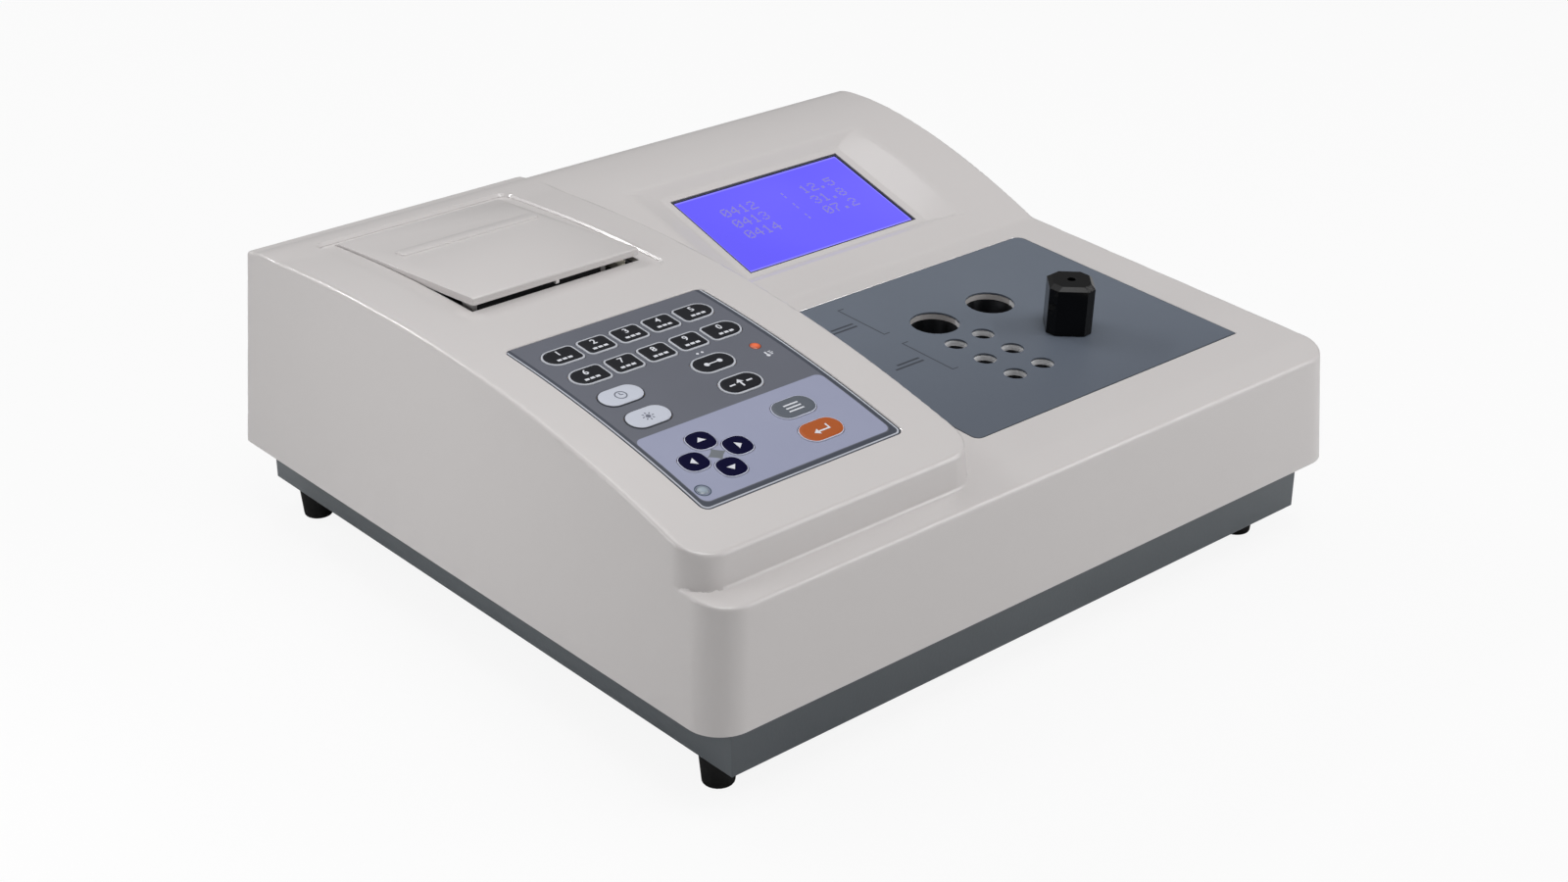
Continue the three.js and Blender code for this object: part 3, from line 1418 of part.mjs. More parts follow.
const deck = new THREE.Group();
deck.position.set(0, ledge_depth, deck_height);
deck.rotation.x = radians(deck_tilt);
machine.add(deck);
place(deck, 'deck_panel', makeDeckPanel(), panel_print);
place(deck, 'heater_block', makeBlock(), block_metal);
place(deck, 'heater_mat', makeHeaterMat(), mat_silicone);
place(deck, 'light_source', makeEmitter(), black_plastic);
place(deck, 'light_detector', makeDetector(), board_green);
const cap = place(deck, 'light_shield_cap', makeCap(), black_plastic);
cap.position.set(optic_x, optic_row, 2 * clearance - deck_pocket + deck_panel_thickness);
cap.rotation.z = radians(cap_turn);
place(machine, 'block_stand', makeStand(), bare_sheet);

place(machine, 'main_board', makeMainBoard(), board_green);
place(machine, 'power_supply', makePowerSupply(), board_green);
place(machine, 'power_inlet', makeInlet(), black_plastic);
place(machine, 'fuse_drawer', makeFuseDrawer(), black_plastic);
place(machine, 'switch_frame', makeSwitchFrame(), black_plastic);
place(machine, 'power_rocker', makeRocker(), black_plastic).position.set(switch_x, rocker_y, socket_level);
place(machine, 'serial_port', makeSerialPort(), bare_sheet);

const analyzer = new THREE.Group();
analyzer.add(machine);
export default analyzer;
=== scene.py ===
# %% [markdown]
# # A bench coagulation analyzer
# The instrument is a wide drafted plastic shell on a folded sheet-metal chassis. A raised column on
# the left carries the keypad and the printer, a hump at the back carries the display, and the low
# deck on the right holds the heated wells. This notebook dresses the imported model, piece by piece.

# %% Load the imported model
import json
import math

import bmesh
import bpy
import numpy as np
from mathutils import Matrix, Vector


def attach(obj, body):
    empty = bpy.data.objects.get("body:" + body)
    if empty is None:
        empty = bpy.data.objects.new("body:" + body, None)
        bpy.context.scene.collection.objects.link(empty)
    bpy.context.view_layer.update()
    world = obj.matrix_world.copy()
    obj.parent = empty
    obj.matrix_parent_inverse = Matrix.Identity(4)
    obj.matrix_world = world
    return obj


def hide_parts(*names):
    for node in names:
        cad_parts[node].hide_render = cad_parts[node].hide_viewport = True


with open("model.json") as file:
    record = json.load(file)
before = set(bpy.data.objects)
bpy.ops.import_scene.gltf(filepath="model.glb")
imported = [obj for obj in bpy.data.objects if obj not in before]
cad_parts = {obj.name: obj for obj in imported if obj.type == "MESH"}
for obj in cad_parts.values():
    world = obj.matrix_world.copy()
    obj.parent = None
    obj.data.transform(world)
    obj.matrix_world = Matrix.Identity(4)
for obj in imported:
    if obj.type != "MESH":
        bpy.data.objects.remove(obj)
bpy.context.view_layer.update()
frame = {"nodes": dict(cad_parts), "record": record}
nodes = frame["nodes"]

# %% [markdown]
# ## Frames
# The sizes were measured in the case's own frame, in millimetres: x from its left edge, y from its
# front edge, z from its bottom rim. Each group of pieces has a frame of its own on top of that, so a
# key or a display can be drawn flat and then laid where it belongs.

# %% Frames in millimetres
MM = 0.001
CASE_WIDTH, CASE_DEPTH, CASE_WALL = 330.0, 303.8, 3.2
CASE_AT, DECK_AT, SCREEN_AT = (-0.165, -0.1551, 0.0343), (0, 17, 48), (227.2, 218, 69)
DECK_TILT, SCREEN_TILT = math.radians(2.73), math.radians(17.1)
case_frame = Matrix.Translation(CASE_AT) @ Matrix.Scale(MM, 4)
deck_frame = case_frame @ Matrix.Translation(DECK_AT) @ Matrix.Rotation(DECK_TILT, 4, "X")
screen_frame = case_frame @ Matrix.Translation(SCREEN_AT) @ Matrix.Rotation(SCREEN_TILT, 4, "X")
print("deck tilt", round(math.degrees(DECK_TILT), 2), "screen tilt", round(math.degrees(SCREEN_TILT), 2))

# %% [markdown]
# ## Camera, floor and light
# The camera stands where the straight edges of the case say that the photograph was taken. The floor
# looks white to the camera alone, and is dull to the light that falls on it, so it keeps the shadow
# and most of the light on the object comes from the soft panels.

# %% Camera
def added(name, data):
    """A new object in the scene."""
    made = bpy.data.objects.new(name, data)
    bpy.context.collection.objects.link(made)
    return made


CAMERA_AT = (-0.58927, -0.67108, 0.47697)
YAW, PITCH, ROLL = math.radians(41.34), math.radians(26.30), math.radians(0.18)
ahead = Vector((math.sin(YAW) * math.cos(PITCH), math.cos(YAW) * math.cos(PITCH), -math.sin(PITCH)))
level = Vector((math.cos(YAW), -math.sin(YAW), 0))
upward = level.cross(ahead)
right = math.cos(ROLL) * level + math.sin(ROLL) * upward
above = math.cos(ROLL) * upward - math.sin(ROLL) * level
camera_data = bpy.data.cameras.new("camera")
camera_data.lens, camera_data.sensor_width, camera_data.sensor_fit = 55.36, 36, "HORIZONTAL"
camera_data.clip_start, camera_data.clip_end = 0.01, 50
camera = added("camera", camera_data)
turn = Matrix((right, above, -ahead)).transposed().to_4x4()
camera.matrix_world = Matrix.Translation(CAMERA_AT) @ turn
bpy.context.scene.camera = camera
bpy.context.scene.view_settings.view_transform = "Standard"
print("camera at", tuple(round(c, 3) for c in camera.matrix_world.translation))

# %% [markdown]
# ## Writing materials as expressions
# A finish is a sum of small effects: a colour, a faint mottle, a bump. Node trees get long when they
# are written socket by socket, so one class wraps a socket and turns Python arithmetic into Math
# nodes, with the number on either side. Any other node comes from its `node` method.

# %% The socket wrapper
class Wire:
    """One output socket, with arithmetic that adds Math nodes to its tree."""

    def __init__(self, tree, socket=None):
        self.tree, self.socket = tree, socket

    def node(self, kind, settings=None, inputs=None, out=0):
        made = self.tree.nodes.new(kind)
        for name, value in (settings or {}).items():
            if name == "stops":
                ramp = made.color_ramp
                while len(ramp.elements) < len(value):
                    ramp.elements.new(0.5)
                for element, (place, colour) in zip(ramp.elements, value):
                    element.position, element.color = place, colour
            else:
                setattr(made, name, value)
        for name, value in (inputs or {}).items():
            if isinstance(value, Wire):
                self.tree.links.new(value.socket, made.inputs[name])
            else:
                made.inputs[name].default_value = value
        return Wire(self.tree, made.outputs[out])

    def math(self, operation, *values):
        settings = {"operation": operation}
        return self.node("ShaderNodeMath", settings, dict(enumerate(values)))

    def __abs__(self):
        return self.math("ABSOLUTE", self)

    def at_least(self, other):
        return self.math("MAXIMUM", self, other)

    def at_most(self, other):
        return self.math("MINIMUM", self, other)

    def power(self, other):
        return self.math("POWER", self, other)

    def soft_step(self, low, high):
        inputs = {"Value": self, "From Min": low, "From Max": high}
        return self.node("ShaderNodeMapRange", {"interpolation_type": "SMOOTHSTEP"}, inputs)

    def blend(self, first, second):
        inputs = {0: self, 6: first, 7: second}
        return self.node("ShaderNodeMix", {"data_type": "RGBA"}, inputs, out=2)


for sign_name, operation in {"add": "ADD", "sub": "SUBTRACT", "mul": "MULTIPLY", "truediv": "DIVIDE"}.items():
    setattr(Wire, f"__{sign_name}__", lambda one, two, kind=operation: one.math(kind, one, two))
    setattr(Wire, f"__r{sign_name}__", lambda one, two, kind=operation: one.math(kind, two, one))


def colour(text):
    """A linear colour from the six hexadecimal digits that a picture shows."""
    parts = [int(text[i:i + 2], 16) / 255 for i in (0, 2, 4)]
    return tuple(p / 12.92 if p <= 0.04045 else ((p + 0.055) / 1.055) ** 2.4 for p in parts) + (1.0,)


def shade(rgba, factor):
    return tuple(min(c * factor, 1.0) for c in rgba[:3]) + (1.0,)


print("sockets wrapped, white is", colour("ffffff"))

# %% [markdown]
# ## Finishes
# Nearly every surface here is moulded, painted or printed, and none of them is perfectly even: a
# mould leaves a fine grain, paint has a slight orange peel, and colour drifts a little over a large
# panel. One helper makes such a finish from a colour and a few sizes.

# %% A helper for even finishes with grain
def new_material(name, **values):
    material = bpy.data.materials.new(name)
    material.use_nodes = True
    shader = material.node_tree.nodes["Principled BSDF"]
    for socket, value in values.items():
        shader.inputs[socket.replace("_", " ")].default_value = value
    return material, shader, Wire(material.node_tree)


def place(wire):
    return wire.node("ShaderNodeTexCoord", out=3)


def noise(wire, size, detail=2.0, at=None):
    inputs = {"Vector": at or place(wire), "Scale": 1.0 / size, "Detail": detail}
    return wire.node("ShaderNodeTexNoise", inputs=inputs)


def feed(shader, socket, value):
    value.tree.links.new(value.socket, shader.inputs[socket])


def feed_bump(shader, height, depth):
    inputs = {"Strength": 1.0, "Distance": depth, "Height": height}
    feed(shader, "Normal", height.node("ShaderNodeBump", inputs=inputs))


finishes = {}


def grained(name, shown, roughness, grain, depth, drift=0.03, **values):
    """A finish with grain of a size and depth in metres, whose colour drifts by a small share."""
    material, shader, wire = new_material(name, **values)
    at = place(wire)
    mottle = noise(wire, 0.045, 3.0, at)
    fine = noise(wire, grain, 2.0, at)
    base = colour(shown)
    feed(shader, "Base Color", mottle.blend(shade(base, 1 - drift), shade(base, 1 + drift)))
    feed(shader, "Roughness", roughness + 0.05 * (fine - 0.5))
    feed_bump(shader, fine, depth)
    finishes[name] = material
    return material


case_plastic = grained("case_plastic", "cfcbca", 0.3, 0.0012, 0.0000025,
                       drift=0.012, Coat_Weight=0.35, Coat_Roughness=0.14)
chassis_paint = grained("chassis_paint", "62686d", 0.48, 0.0011, 0.00004, drift=0.04)
foot_rubber = grained("foot_rubber", "0c0c0d", 0.7, 0.0007, 0.00005, drift=0.1,
                      Specular_IOR_Level=0.3)
bright_steel = grained("bright_steel", "b9bcc0", 0.28, 0.0004, 0.000008, Metallic=1.0)
bare_sheet = grained("bare_sheet", "a2a5a8", 0.4, 0.0015, 0.00001, Metallic=1.0)
black_plastic = grained("black_plastic", "141415", 0.3, 0.0005, 0.00001, drift=0.1)
circuit_film = grained("circuit_film", "b48a3c", 0.45, 0.002, 0.00001)
platen_rubber = grained("platen_rubber", "2a2a2c", 0.8, 0.0004, 0.00003)
gear_nylon = grained("gear_nylon", "e2ddcf", 0.5, 0.0008, 0.00002)
paper_white = grained("paper_white", "efeee9", 0.85, 0.0003, 0.00002, drift=0.02)
block_metal = grained("block_metal", "2a2b2e", 0.42, 0.0005, 0.00001, Metallic=0.8)
mat_silicone = grained("mat_silicone", "9c3a26", 0.65, 0.001, 0.00004)
board_green = grained("board_green", "1f5b3a", 0.5, 0.0016, 0.00004, drift=0.12)
print(len(finishes), "finishes so far")

# %% [markdown]
# ## The upper case
# The shell is one injection moulding, so every edge of it is a fillet and every wall leans a few
# degrees to leave the mould. Bevels on such a curved outline are hard to keep even. A distance field
# is simpler: each wall is a signed distance, two walls meet with `rounded`, and the radius of each
# fillet is just a number. The surface is then read off the field on a grid and pulled onto it exactly.

# %% Height lines of the column, the deck and the hump
def bezier(points):
    t = np.linspace(0, 1, 61)[:, None]
    p = np.array(points, float)
    return ((1 - t) ** 3 * p[0] + 3 * t * (1 - t) ** 2 * p[1] + 3 * t * t * (1 - t) * p[2] + t ** 3 * p[3])


column_rise = bezier([(15.19, 60.19), (74.0, 76.8), (133.0, 87.27), (208.0, 87.1)])
column_fall = bezier([(208.0, 87.1), (250.0, 87.27), (280.0, 84.6), (309.9, 82.0)])
hump_rise = bezier([(170, 55.3), (190.2, 65.0), (240.0, 84.1), (278.2, 84.6)])
hump_fall = bezier([(278.2, 84.6), (288.0, 84.6), (300.0, 85.4), (301.2, 77.0)])
DECK_SLOPE = math.tan(DECK_TILT)
deck_points = [(-20, 42.56), (0, 45.5), (17, 48), (170, 48 + 153 * DECK_SLOPE)]


def smooth_line(points):
    """Places, heights and cosines of the slope along a line with its corners smoothed over a millimetre."""
    y = np.arange(-20.0, 330.0, 0.25)
    p = np.array(points)
    z = np.interp(y, p[:, 0], p[:, 1])
    slope = (p[1, 1] - p[0, 1]) / (p[1, 0] - p[0, 0])
    z = np.where(y < p[0, 0], p[0, 1] + slope * (y - p[0, 0]), z)
    reach = np.arange(-6, 6.01, 0.25)
    weight = np.exp(-0.5 * reach ** 2)
    padded = np.pad(z, len(reach) // 2, mode="reflect", reflect_type="odd")
    z = np.convolve(padded, weight / weight.sum(), mode="valid")
    return y, z, np.cos(np.arctan(np.gradient(z, y)))


column_line = smooth_line([*column_rise, *column_fall[1:]])
deck_line = smooth_line([*deck_points, *hump_rise[1:], *hump_fall[1:], (330, 77.0)])
print("highest places:", [round(float(line[1].max()), 1) for line in (column_line, deck_line)])


def column_height(y):
    return float(np.interp(y, column_line[0], column_line[1]))

# %% The signed distance to the case
TOP_FILLET = 1.2


def rounded(a, b, radius):
    """Where two walls meet, with a fillet of the given radius on the outer edge."""
    if radius <= 0:
        return np.maximum(a, b)
    corner = np.hypot(np.maximum(a + radius, 0), np.maximum(b + radius, 0))
    return np.minimum(np.maximum(a, b), -radius) + corner


def welded(a, b, radius):
    """Either of two bodies, with a fillet in the inner corner between them."""
    corner = np.hypot(np.maximum(radius - a, 0), np.maximum(radius - b, 0))
    return np.maximum(np.minimum(a, b), radius) - corner


def wall(distance, draft, height):
    """A leaning wall: its distance at the rim, its draft in degrees, and the height above the rim."""
    lean = math.radians(draft)
    return (distance + height * math.tan(lean)) * math.cos(lean)


def line_distance(line, y, z):
    return (z - np.interp(y, line[0], line[1])) * np.interp(y, line[0], line[2])


def over_screen(along):
    """How far the hump stands out of the screen's plane."""
    out = np.zeros_like(along)
    for _ in range(6):
        y = SCREEN_AT[1] + along * math.cos(SCREEN_TILT) - out * math.sin(SCREEN_TILT)
        height = np.interp(y, deck_line[0], deck_line[1])
        out = (height - SCREEN_AT[2] - along * math.sin(SCREEN_TILT)) / math.cos(SCREEN_TILT)
    return out


ALONG_SCREEN = np.linspace(-60, 60, 241)
HUMP_OVER_SCREEN = (ALONG_SCREEN, over_screen(ALONG_SCREEN))


def flank(distance, reach, rise, out):
    """A sloping flank that goes outward by `reach` while it rises by `rise`."""
    return (distance * rise - reach * out) / np.hypot(rise, reach)


def recess_field(x, y, z):
    """The display's recess: a floor in the screen's plane and four flanks that lean outward."""
    across, back, up = x - SCREEN_AT[0], y - SCREEN_AT[1], z - SCREEN_AT[2]
    along = back * math.cos(SCREEN_TILT) + up * math.sin(SCREEN_TILT)
    out = up * math.cos(SCREEN_TILT) - back * math.sin(SCREEN_TILT)
    rise = np.interp(along, *HUMP_OVER_SCREEN)
    left, right = flank(-across - 51.5, 12.3, rise, out), flank(across - 51.5, 16.9, rise, out)
    low = flank(-along - 31.0, 4.4, float(over_screen(np.array(-35.4))), out)
    high = flank(along - 31.0, 6.8, float(over_screen(np.array(37.8))), out)
    return np.maximum(np.maximum(np.maximum(left, right), np.maximum(low, high)), -out)


def case_field(x, y, z):
    """The whole shell, open below. The recess is cut from deck and hump only, so the column stays whole."""
    left, right_side = wall(-x, 5, z), wall(x - CASE_WIDTH, 3.2, z)
    front, rear = wall(-y, 4, z), wall(y - CASE_DEPTH, 2, z)
    plan = rounded(rounded(np.maximum(left, right_side), front, 14), rear, 2)
    deck = rounded(plan, line_distance(deck_line, y, z), TOP_FILLET)
    deck = rounded(deck, -recess_field(x, y, z), 0.5)
    over = z - 45.5
    column_front = wall(14.2 - y, 5, over)
    column_right = wall(x - 137 - (y - 14.2) * 6.6 / 291.6, 3, over)
    column_plan = rounded(rounded(np.maximum(left, column_right), column_front, 13), rear, 2)
    column = rounded(column_plan, line_distance(column_line, y, z), TOP_FILLET)
    reach = 0.9 * np.clip((x - 8) / 14, 0, 1) * np.clip((CASE_DEPTH - 8 - y) / 14, 0, 1) + 1e-3
    return welded(deck, column, reach)


print("field at the middle of the deck:", round(float(case_field(200.0, 100.0, 52.0)), 2), "mm")

# %% Read a surface off a field
def surface_net(field, low, high, step):
    """Quads through the cells where a field changes sign, one vertex in each such cell."""
    axes = [np.arange(a, b + step, step, dtype=np.float32) for a, b in zip(low, high)]
    x, y, z = np.meshgrid(*axes, indexing="ij", sparse=True)
    value = np.broadcast_to(field(x, y, z), [len(a) for a in axes])
    inside = value < 0
    cells = [n - 1 for n in value.shape]
    corners = [(i, j, k) for i in (0, 1) for j in (0, 1) for k in (0, 1)]
    filled = sum(inside[i:i + cells[0], j:j + cells[1], k:k + cells[2]].astype(np.int8)
                 for i, j, k in corners)
    active = (filled > 0) & (filled < 8)
    cell = np.argwhere(active)
    number = np.full(active.shape, -1)
    number[active] = np.arange(len(cell))
    total, count = np.zeros((len(cell), 3)), np.zeros(len(cell))
    for a in corners:
        for axis in range(3):
            if a[axis]:
                continue
            b = tuple(v + (n == axis) for n, v in enumerate(a))
            start, end = value[tuple((cell + a).T)], value[tuple((cell + b).T)]
            crossing = (start < 0) != (end < 0)
            share = np.where(crossing, start / np.where(crossing, start - end, 1), 0)
            point = np.array(a) + share[:, None] * (np.array(b) - np.array(a))
            total += point * crossing[:, None]
            count += crossing
    vertices = np.array(low) + (cell + total / count[:, None]) * step
    faces = []
    for axis in range(3):
        one, two = [n for n in range(3) if n != axis]
        end = [slice(None)] * 3
        start = [slice(None)] * 3
        start[axis], end[axis] = slice(0, -1), slice(1, None)
        change = inside[tuple(start)] != inside[tuple(end)]
        place_of = np.argwhere(change)
        place_of = place_of[(place_of[:, one] > 0) & (place_of[:, two] > 0)]
        ring = []
        for back_one, back_two in ((1, 1), (0, 1), (0, 0), (1, 0)):
            shifted = place_of.copy()
            shifted[:, one] -= back_one
            shifted[:, two] -= back_two
            ring.append(number[tuple(shifted.T)])
        quads = np.stack(ring, axis=1)
        outward = inside[tuple(place_of.T)] != (axis == 1)
        faces.append(np.where(outward[:, None], quads, quads[:, ::-1]))
    return vertices, np.concatenate(faces)


def gradient(field, points, reach=0.05):
    parts = []
    for axis in range(3):
        step = np.zeros(3)
        step[axis] = reach
        parts.append((field(*(points + step).T) - field(*(points - step).T)) / (2 * reach))
    return np.stack(parts, axis=1)


def pull(field, points):
    """Points moved onto the place where the field is zero."""
    for _ in range(3):
        slope = gradient(field, points)
        size = np.maximum((slope ** 2).sum(axis=1), 0.2)
        points = points - (field(*points.T) / size)[:, None] * slope
    return points


def mesh_object(name, vertices, faces, transform=None):
    mesh = bpy.data.meshes.new(name)
    mesh.from_pydata([tuple(v) for v in vertices], [], [tuple(f) for f in faces])
    if transform:
        mesh.transform(transform)
    return added(name, mesh)


def finish_modifiers(thing):
    """Turn an object with modifiers into a plain mesh."""
    bpy.context.view_layer.update()
    evaluated = thing.evaluated_get(bpy.context.evaluated_depsgraph_get())
    mesh = bpy.data.meshes.new_from_object(evaluated)
    thing.modifiers.clear()
    old, thing.data = thing.data, mesh
    bpy.data.meshes.remove(old)
    return thing


def closed_field(x, y, z):
    return np.maximum(case_field(x, y, z), -1.5 - z)


LOW_CORNER, HIGH_CORNER = (-2.6, -2.6, -3.1), (332.6, 306.4, 89.5)
vertices, faces = surface_net(closed_field, LOW_CORNER, HIGH_CORNER, 1.25)
vertices = pull(closed_field, vertices)
case_skin = mesh_object("upper_case_shell", vertices, faces)
print(len(vertices), "vertices on the case's surface")

# %% Thin the flat parts and hollow the shell
def shown_as_is(thing, *materials):
    thing.data.materials.clear()
    for material in materials:
        thing.data.materials.append(material)
    return thing


def modifier(thing, kind, **settings):
    made = thing.modifiers.new(kind.lower(), kind)
    for name, value in settings.items():
        setattr(made, name, value)
    return made


def carve(thing, *cutters, operation="DIFFERENCE"):
    for cutter in cutters:
        modifier(thing, "BOOLEAN", operation=operation, object=cutter, solver="MANIFOLD")
    finish_modifiers(thing)
    for cutter in cutters:
        bpy.data.objects.remove(cutter)
    return thing


def hollow_field(x, y, z):
    return np.maximum(case_field(x, y, z) + CASE_WALL, -5 - z)


def mesh_points(thing):
    flat = np.empty(len(thing.data.vertices) * 3)
    thing.data.vertices.foreach_get("co", flat)
    return flat.reshape(-1, 3)


def set_points(thing, points):
    thing.data.vertices.foreach_set("co", np.ascontiguousarray(points, dtype=np.float32).ravel())
    thing.data.update()


modifier(case_skin, "DECIMATE", ratio=0.26)
finish_modifiers(case_skin)
set_points(case_skin, pull(closed_field, mesh_points(case_skin)))
inner_low = (LOW_CORNER[0], LOW_CORNER[1], -9.0)
vertices, faces = surface_net(hollow_field, inner_low, HIGH_CORNER, 2.5)
case_hollow = mesh_object("case_hollow", pull(hollow_field, vertices), faces)
modifier(case_hollow, "DECIMATE", ratio=0.5)
finish_modifiers(case_hollow)
print(len(case_skin.data.polygons), "faces outside,", len(case_hollow.data.polygons), "inside")

# %% [markdown]
# The field is open below the rim, so a slab trims it flat there. The sharp-edged openings are cut
# last, with closed tools: the pockets for the keypad and the deck panel, the printer's recess and
# bay, the display's window, the wells and the gap for the connector panel. Every tool for a visible
# pocket widens a little at its top, which leaves the small chamfer that catches the light.

# %% Tools for the openings
def round_outline(x0, x1, y0, y1, radii, steps=6):
    """Points of a rectangle, counter-clockwise, with radii for its four corners from the rear right."""
    places = [(x1, y1, -1, -1, 0), (x0, y1, 1, -1, 90), (x0, y0, 1, 1, 180), (x1, y0, -1, 1, 270)]
    points = []
    for (x, y, sx, sy, start), radius in zip(places, radii):
        turns = range(steps + 1) if radius > 0.01 else [steps / 2]
        for i in turns:
            angle = math.radians(start + 90 * i / steps)
            reach = radius if radius > 0.01 else 0
            points.append((x + sx * reach + reach * math.cos(angle),
                           y + sy * reach + reach * math.sin(angle)))
    return points


def circle(x, y, radius, count=40):
    turns = [2 * math.pi * i / count for i in range(count)]
    return [(x + radius * math.cos(a), y + radius * math.sin(a)) for a in turns]


def loft(name, levels, transform=None):
    """A closed solid through outlines at rising heights."""
    count = len(levels[0][1])
    points = [(x, y, height) for height, outline in levels for x, y in outline]
    faces = [[i for i in range(count)][::-1]]
    for level in range(len(levels) - 1):
        base = level * count
        for i in range(count):
            j = (i + 1) % count
            faces.append([base + i, base + j, base + count + j, base + count + i])
    faces.append([(len(levels) - 1) * count + i for i in range(count)])
    return mesh_object(name, points, faces, transform)


def prism(name, outline, low, high, transform=None):
    return loft(name, [(low, outline), (high, outline)], transform)


def block(name, low, high, transform=None):
    outline = [(high[0], high[1]), (low[0], high[1]), (low[0], low[1]), (high[0], low[1])]
    return prism(name, outline, low[2], high[2], transform)


def draped(name, x0, x1, y0, y1, radii, heights, steps, transform=None):
    """A solid that follows the column's curve, from pairs of a height and how far it grows there."""
    rows = []
    for height, grow in heights:
        grown = [r + max(grow, -r) for r in radii]
        rows.append((height, round_outline(x0 - grow, x1 + grow, y0 - grow, y1 + grow, grown)))
    solid = loft(name, rows)
    work = bmesh.new()
    work.from_mesh(solid.data)
    for i in range(1, steps):
        y = y0 + (y1 - y0) * i / steps
        geometry = work.verts[:] + work.edges[:] + work.faces[:]
        bmesh.ops.bisect_plane(work, geom=geometry, plane_co=(0, y, 0), plane_no=(0, 1, 0))
    for vertex in work.verts:
        vertex.co.z += column_height(vertex.co.y)
    work.to_mesh(solid.data)
    work.free()
    if transform:
        solid.data.transform(transform)
    return solid


KEYPAD = (25.2, 117.3, 34.7, 149.0)
RECESS = (28.8, 121.0, 174.5, 283.5)
BAY = (36.5, 115.7, 184.5, 281.8)
PANEL = (156.7, 306.0, 19.3, 141.9)
sample_wells = [(207.5 + 15.4 * i, 48.8 + 16.4 * j) for i in range(2) for j in range(3)]
reagent_wells = [(214.3, 100.6), (246.1, 100.6)]
OPTIC_WELL = (254.5, 65.2)
wells = [(at, 4.6) for at in sample_wells] + [(at, 10.2) for at in reagent_wells] + [(OPTIC_WELL, 5.2)]
print(len(wells), "wells")

# %% Cut the case
def four(radius):
    return [radius] * 4


def panel_outline(grow):
    edges = (PANEL[0] - grow, PANEL[1] + grow, PANEL[2] - grow, PANEL[3] + grow)
    return round_outline(*edges, [r + grow for r in (4, 3, 3, 0.5)])


deck_in_case = case_frame.inverted() @ deck_frame
screen_in_case = case_frame.inverted() @ screen_frame
carve(case_skin, case_hollow, block("below", (-20, -20, -30), (350, 330, 0)))
tools = [
    draped("keypad_tool", *KEYPAD, four(3), [(-2.2, 0), (-0.3, 0), (0.15, 0.45), (3, 3.3)], 32),
    draped("recess_tool", *RECESS, four(4), [(-1, 0), (-0.75, 0), (0.1, 0.85), (3, 3.7)], 32),
    block("bay_tool", (BAY[0], BAY[2], 48), (BAY[1], BAY[3], 92)),
    loft("panel_tool", [(height, panel_outline(grow))
                        for height, grow in ((-1, 0), (-0.3, 0), (0.1, 0.4), (3, 3.3))], deck_in_case),
    block("window_tool", (-47.8, -27.8, -8), (47.8, 27.8, 3), screen_in_case),
    block("tail_tool", (61.7, 90.5, 48), (82.3, 93.1, 90)),
    block("rear_tool", (52, 291, -4), (278, 312, 47)),
]
tools += [prism("well_tool", circle(*at, radius), -9, 3, deck_in_case) for at, radius in wells]
carve(case_skin, *tools)
print(len(case_skin.data.polygons), "faces after cutting")

# %% Screw bosses inside the case
bosses = []
for x, y in [(20.5, 23.5), (300.5, 23.5), (20.5, 285.5), (300.5, 285.5)]:
    pillar = prism("pillar", circle(x, y, 4.5, 32), -20.5, 30)
    wall_x, wall_y = (3.4 if x < 165 else 326.6), (3 if y < 150 else 301.2)
    rib_x = block("rib_x", (min(x, wall_x), y - 1.2, 6.5), (max(x, wall_x), y + 1.2, 28))
    rib_y = block("rib_y", (x - 1.2, min(y, wall_y), 6.5), (x + 1.2, max(y, wall_y), 28))
    carve(pillar, rib_x, rib_y, operation="UNION")
    bosses.append(carve(pillar, prism("bore", circle(x, y, 2.05, 24), -24, -8)))
carve(case_skin, *bosses, operation="UNION")


def field_normals(thing, field):
    """Smooth normals from the field where the surface lies on it, and each face's own elsewhere."""
    mesh = thing.data
    points = mesh_points(thing)
    on_field = np.abs(field(*points.T)) < 0.06
    slopes = gradient(field, points, 0.3)
    slopes /= np.maximum(np.linalg.norm(slopes, axis=1), 1e-6)[:, None]
    loops = np.empty(len(mesh.loops), int)
    mesh.loops.foreach_get("vertex_index", loops)
    face_of = np.repeat(np.arange(len(mesh.polygons)), [p.loop_total for p in mesh.polygons])
    normals = np.empty(len(mesh.polygons) * 3)
    mesh.polygons.foreach_get("normal", normals)
    flat = normals.reshape(-1, 3)[face_of]
    agree = (slopes[loops] * flat).sum(axis=1) > math.cos(math.radians(35))
    chosen = np.where((on_field[loops] & agree)[:, None], slopes[loops], flat)
    mesh.polygons.foreach_set("use_smooth", [True] * len(mesh.polygons))
    mesh.normals_split_custom_set(chosen.tolist())
    return int((on_field[loops] & agree).sum()), len(loops)


print("smooth corners:", field_normals(case_skin, case_field))
case_skin.data.transform(case_frame)
shown_as_is(case_skin, case_plastic)
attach(case_skin, "housing")
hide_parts("upper_case")

# %% [markdown]
# ## Helpers for the smaller pieces
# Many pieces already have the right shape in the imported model, but with razor edges. Real edges are
# broken by a mould or a file, and that is where light catches. `softened` takes a copy of a node,
# merges its loose triangles, dissolves its flat seams and bevels what is left.

# %% Rounded copies, merged pieces and small prisms
body_of_node = {node: body for body, held in frame["record"]["behaviour"]["bodies"].items() for node in held}


def stand_in(thing, name, *materials):
    """Put a finished piece in the place of a CAD node, on the same body."""
    if materials:
        shown_as_is(thing, *materials)
    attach(thing, body_of_node[name])
    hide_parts(name)
    return thing


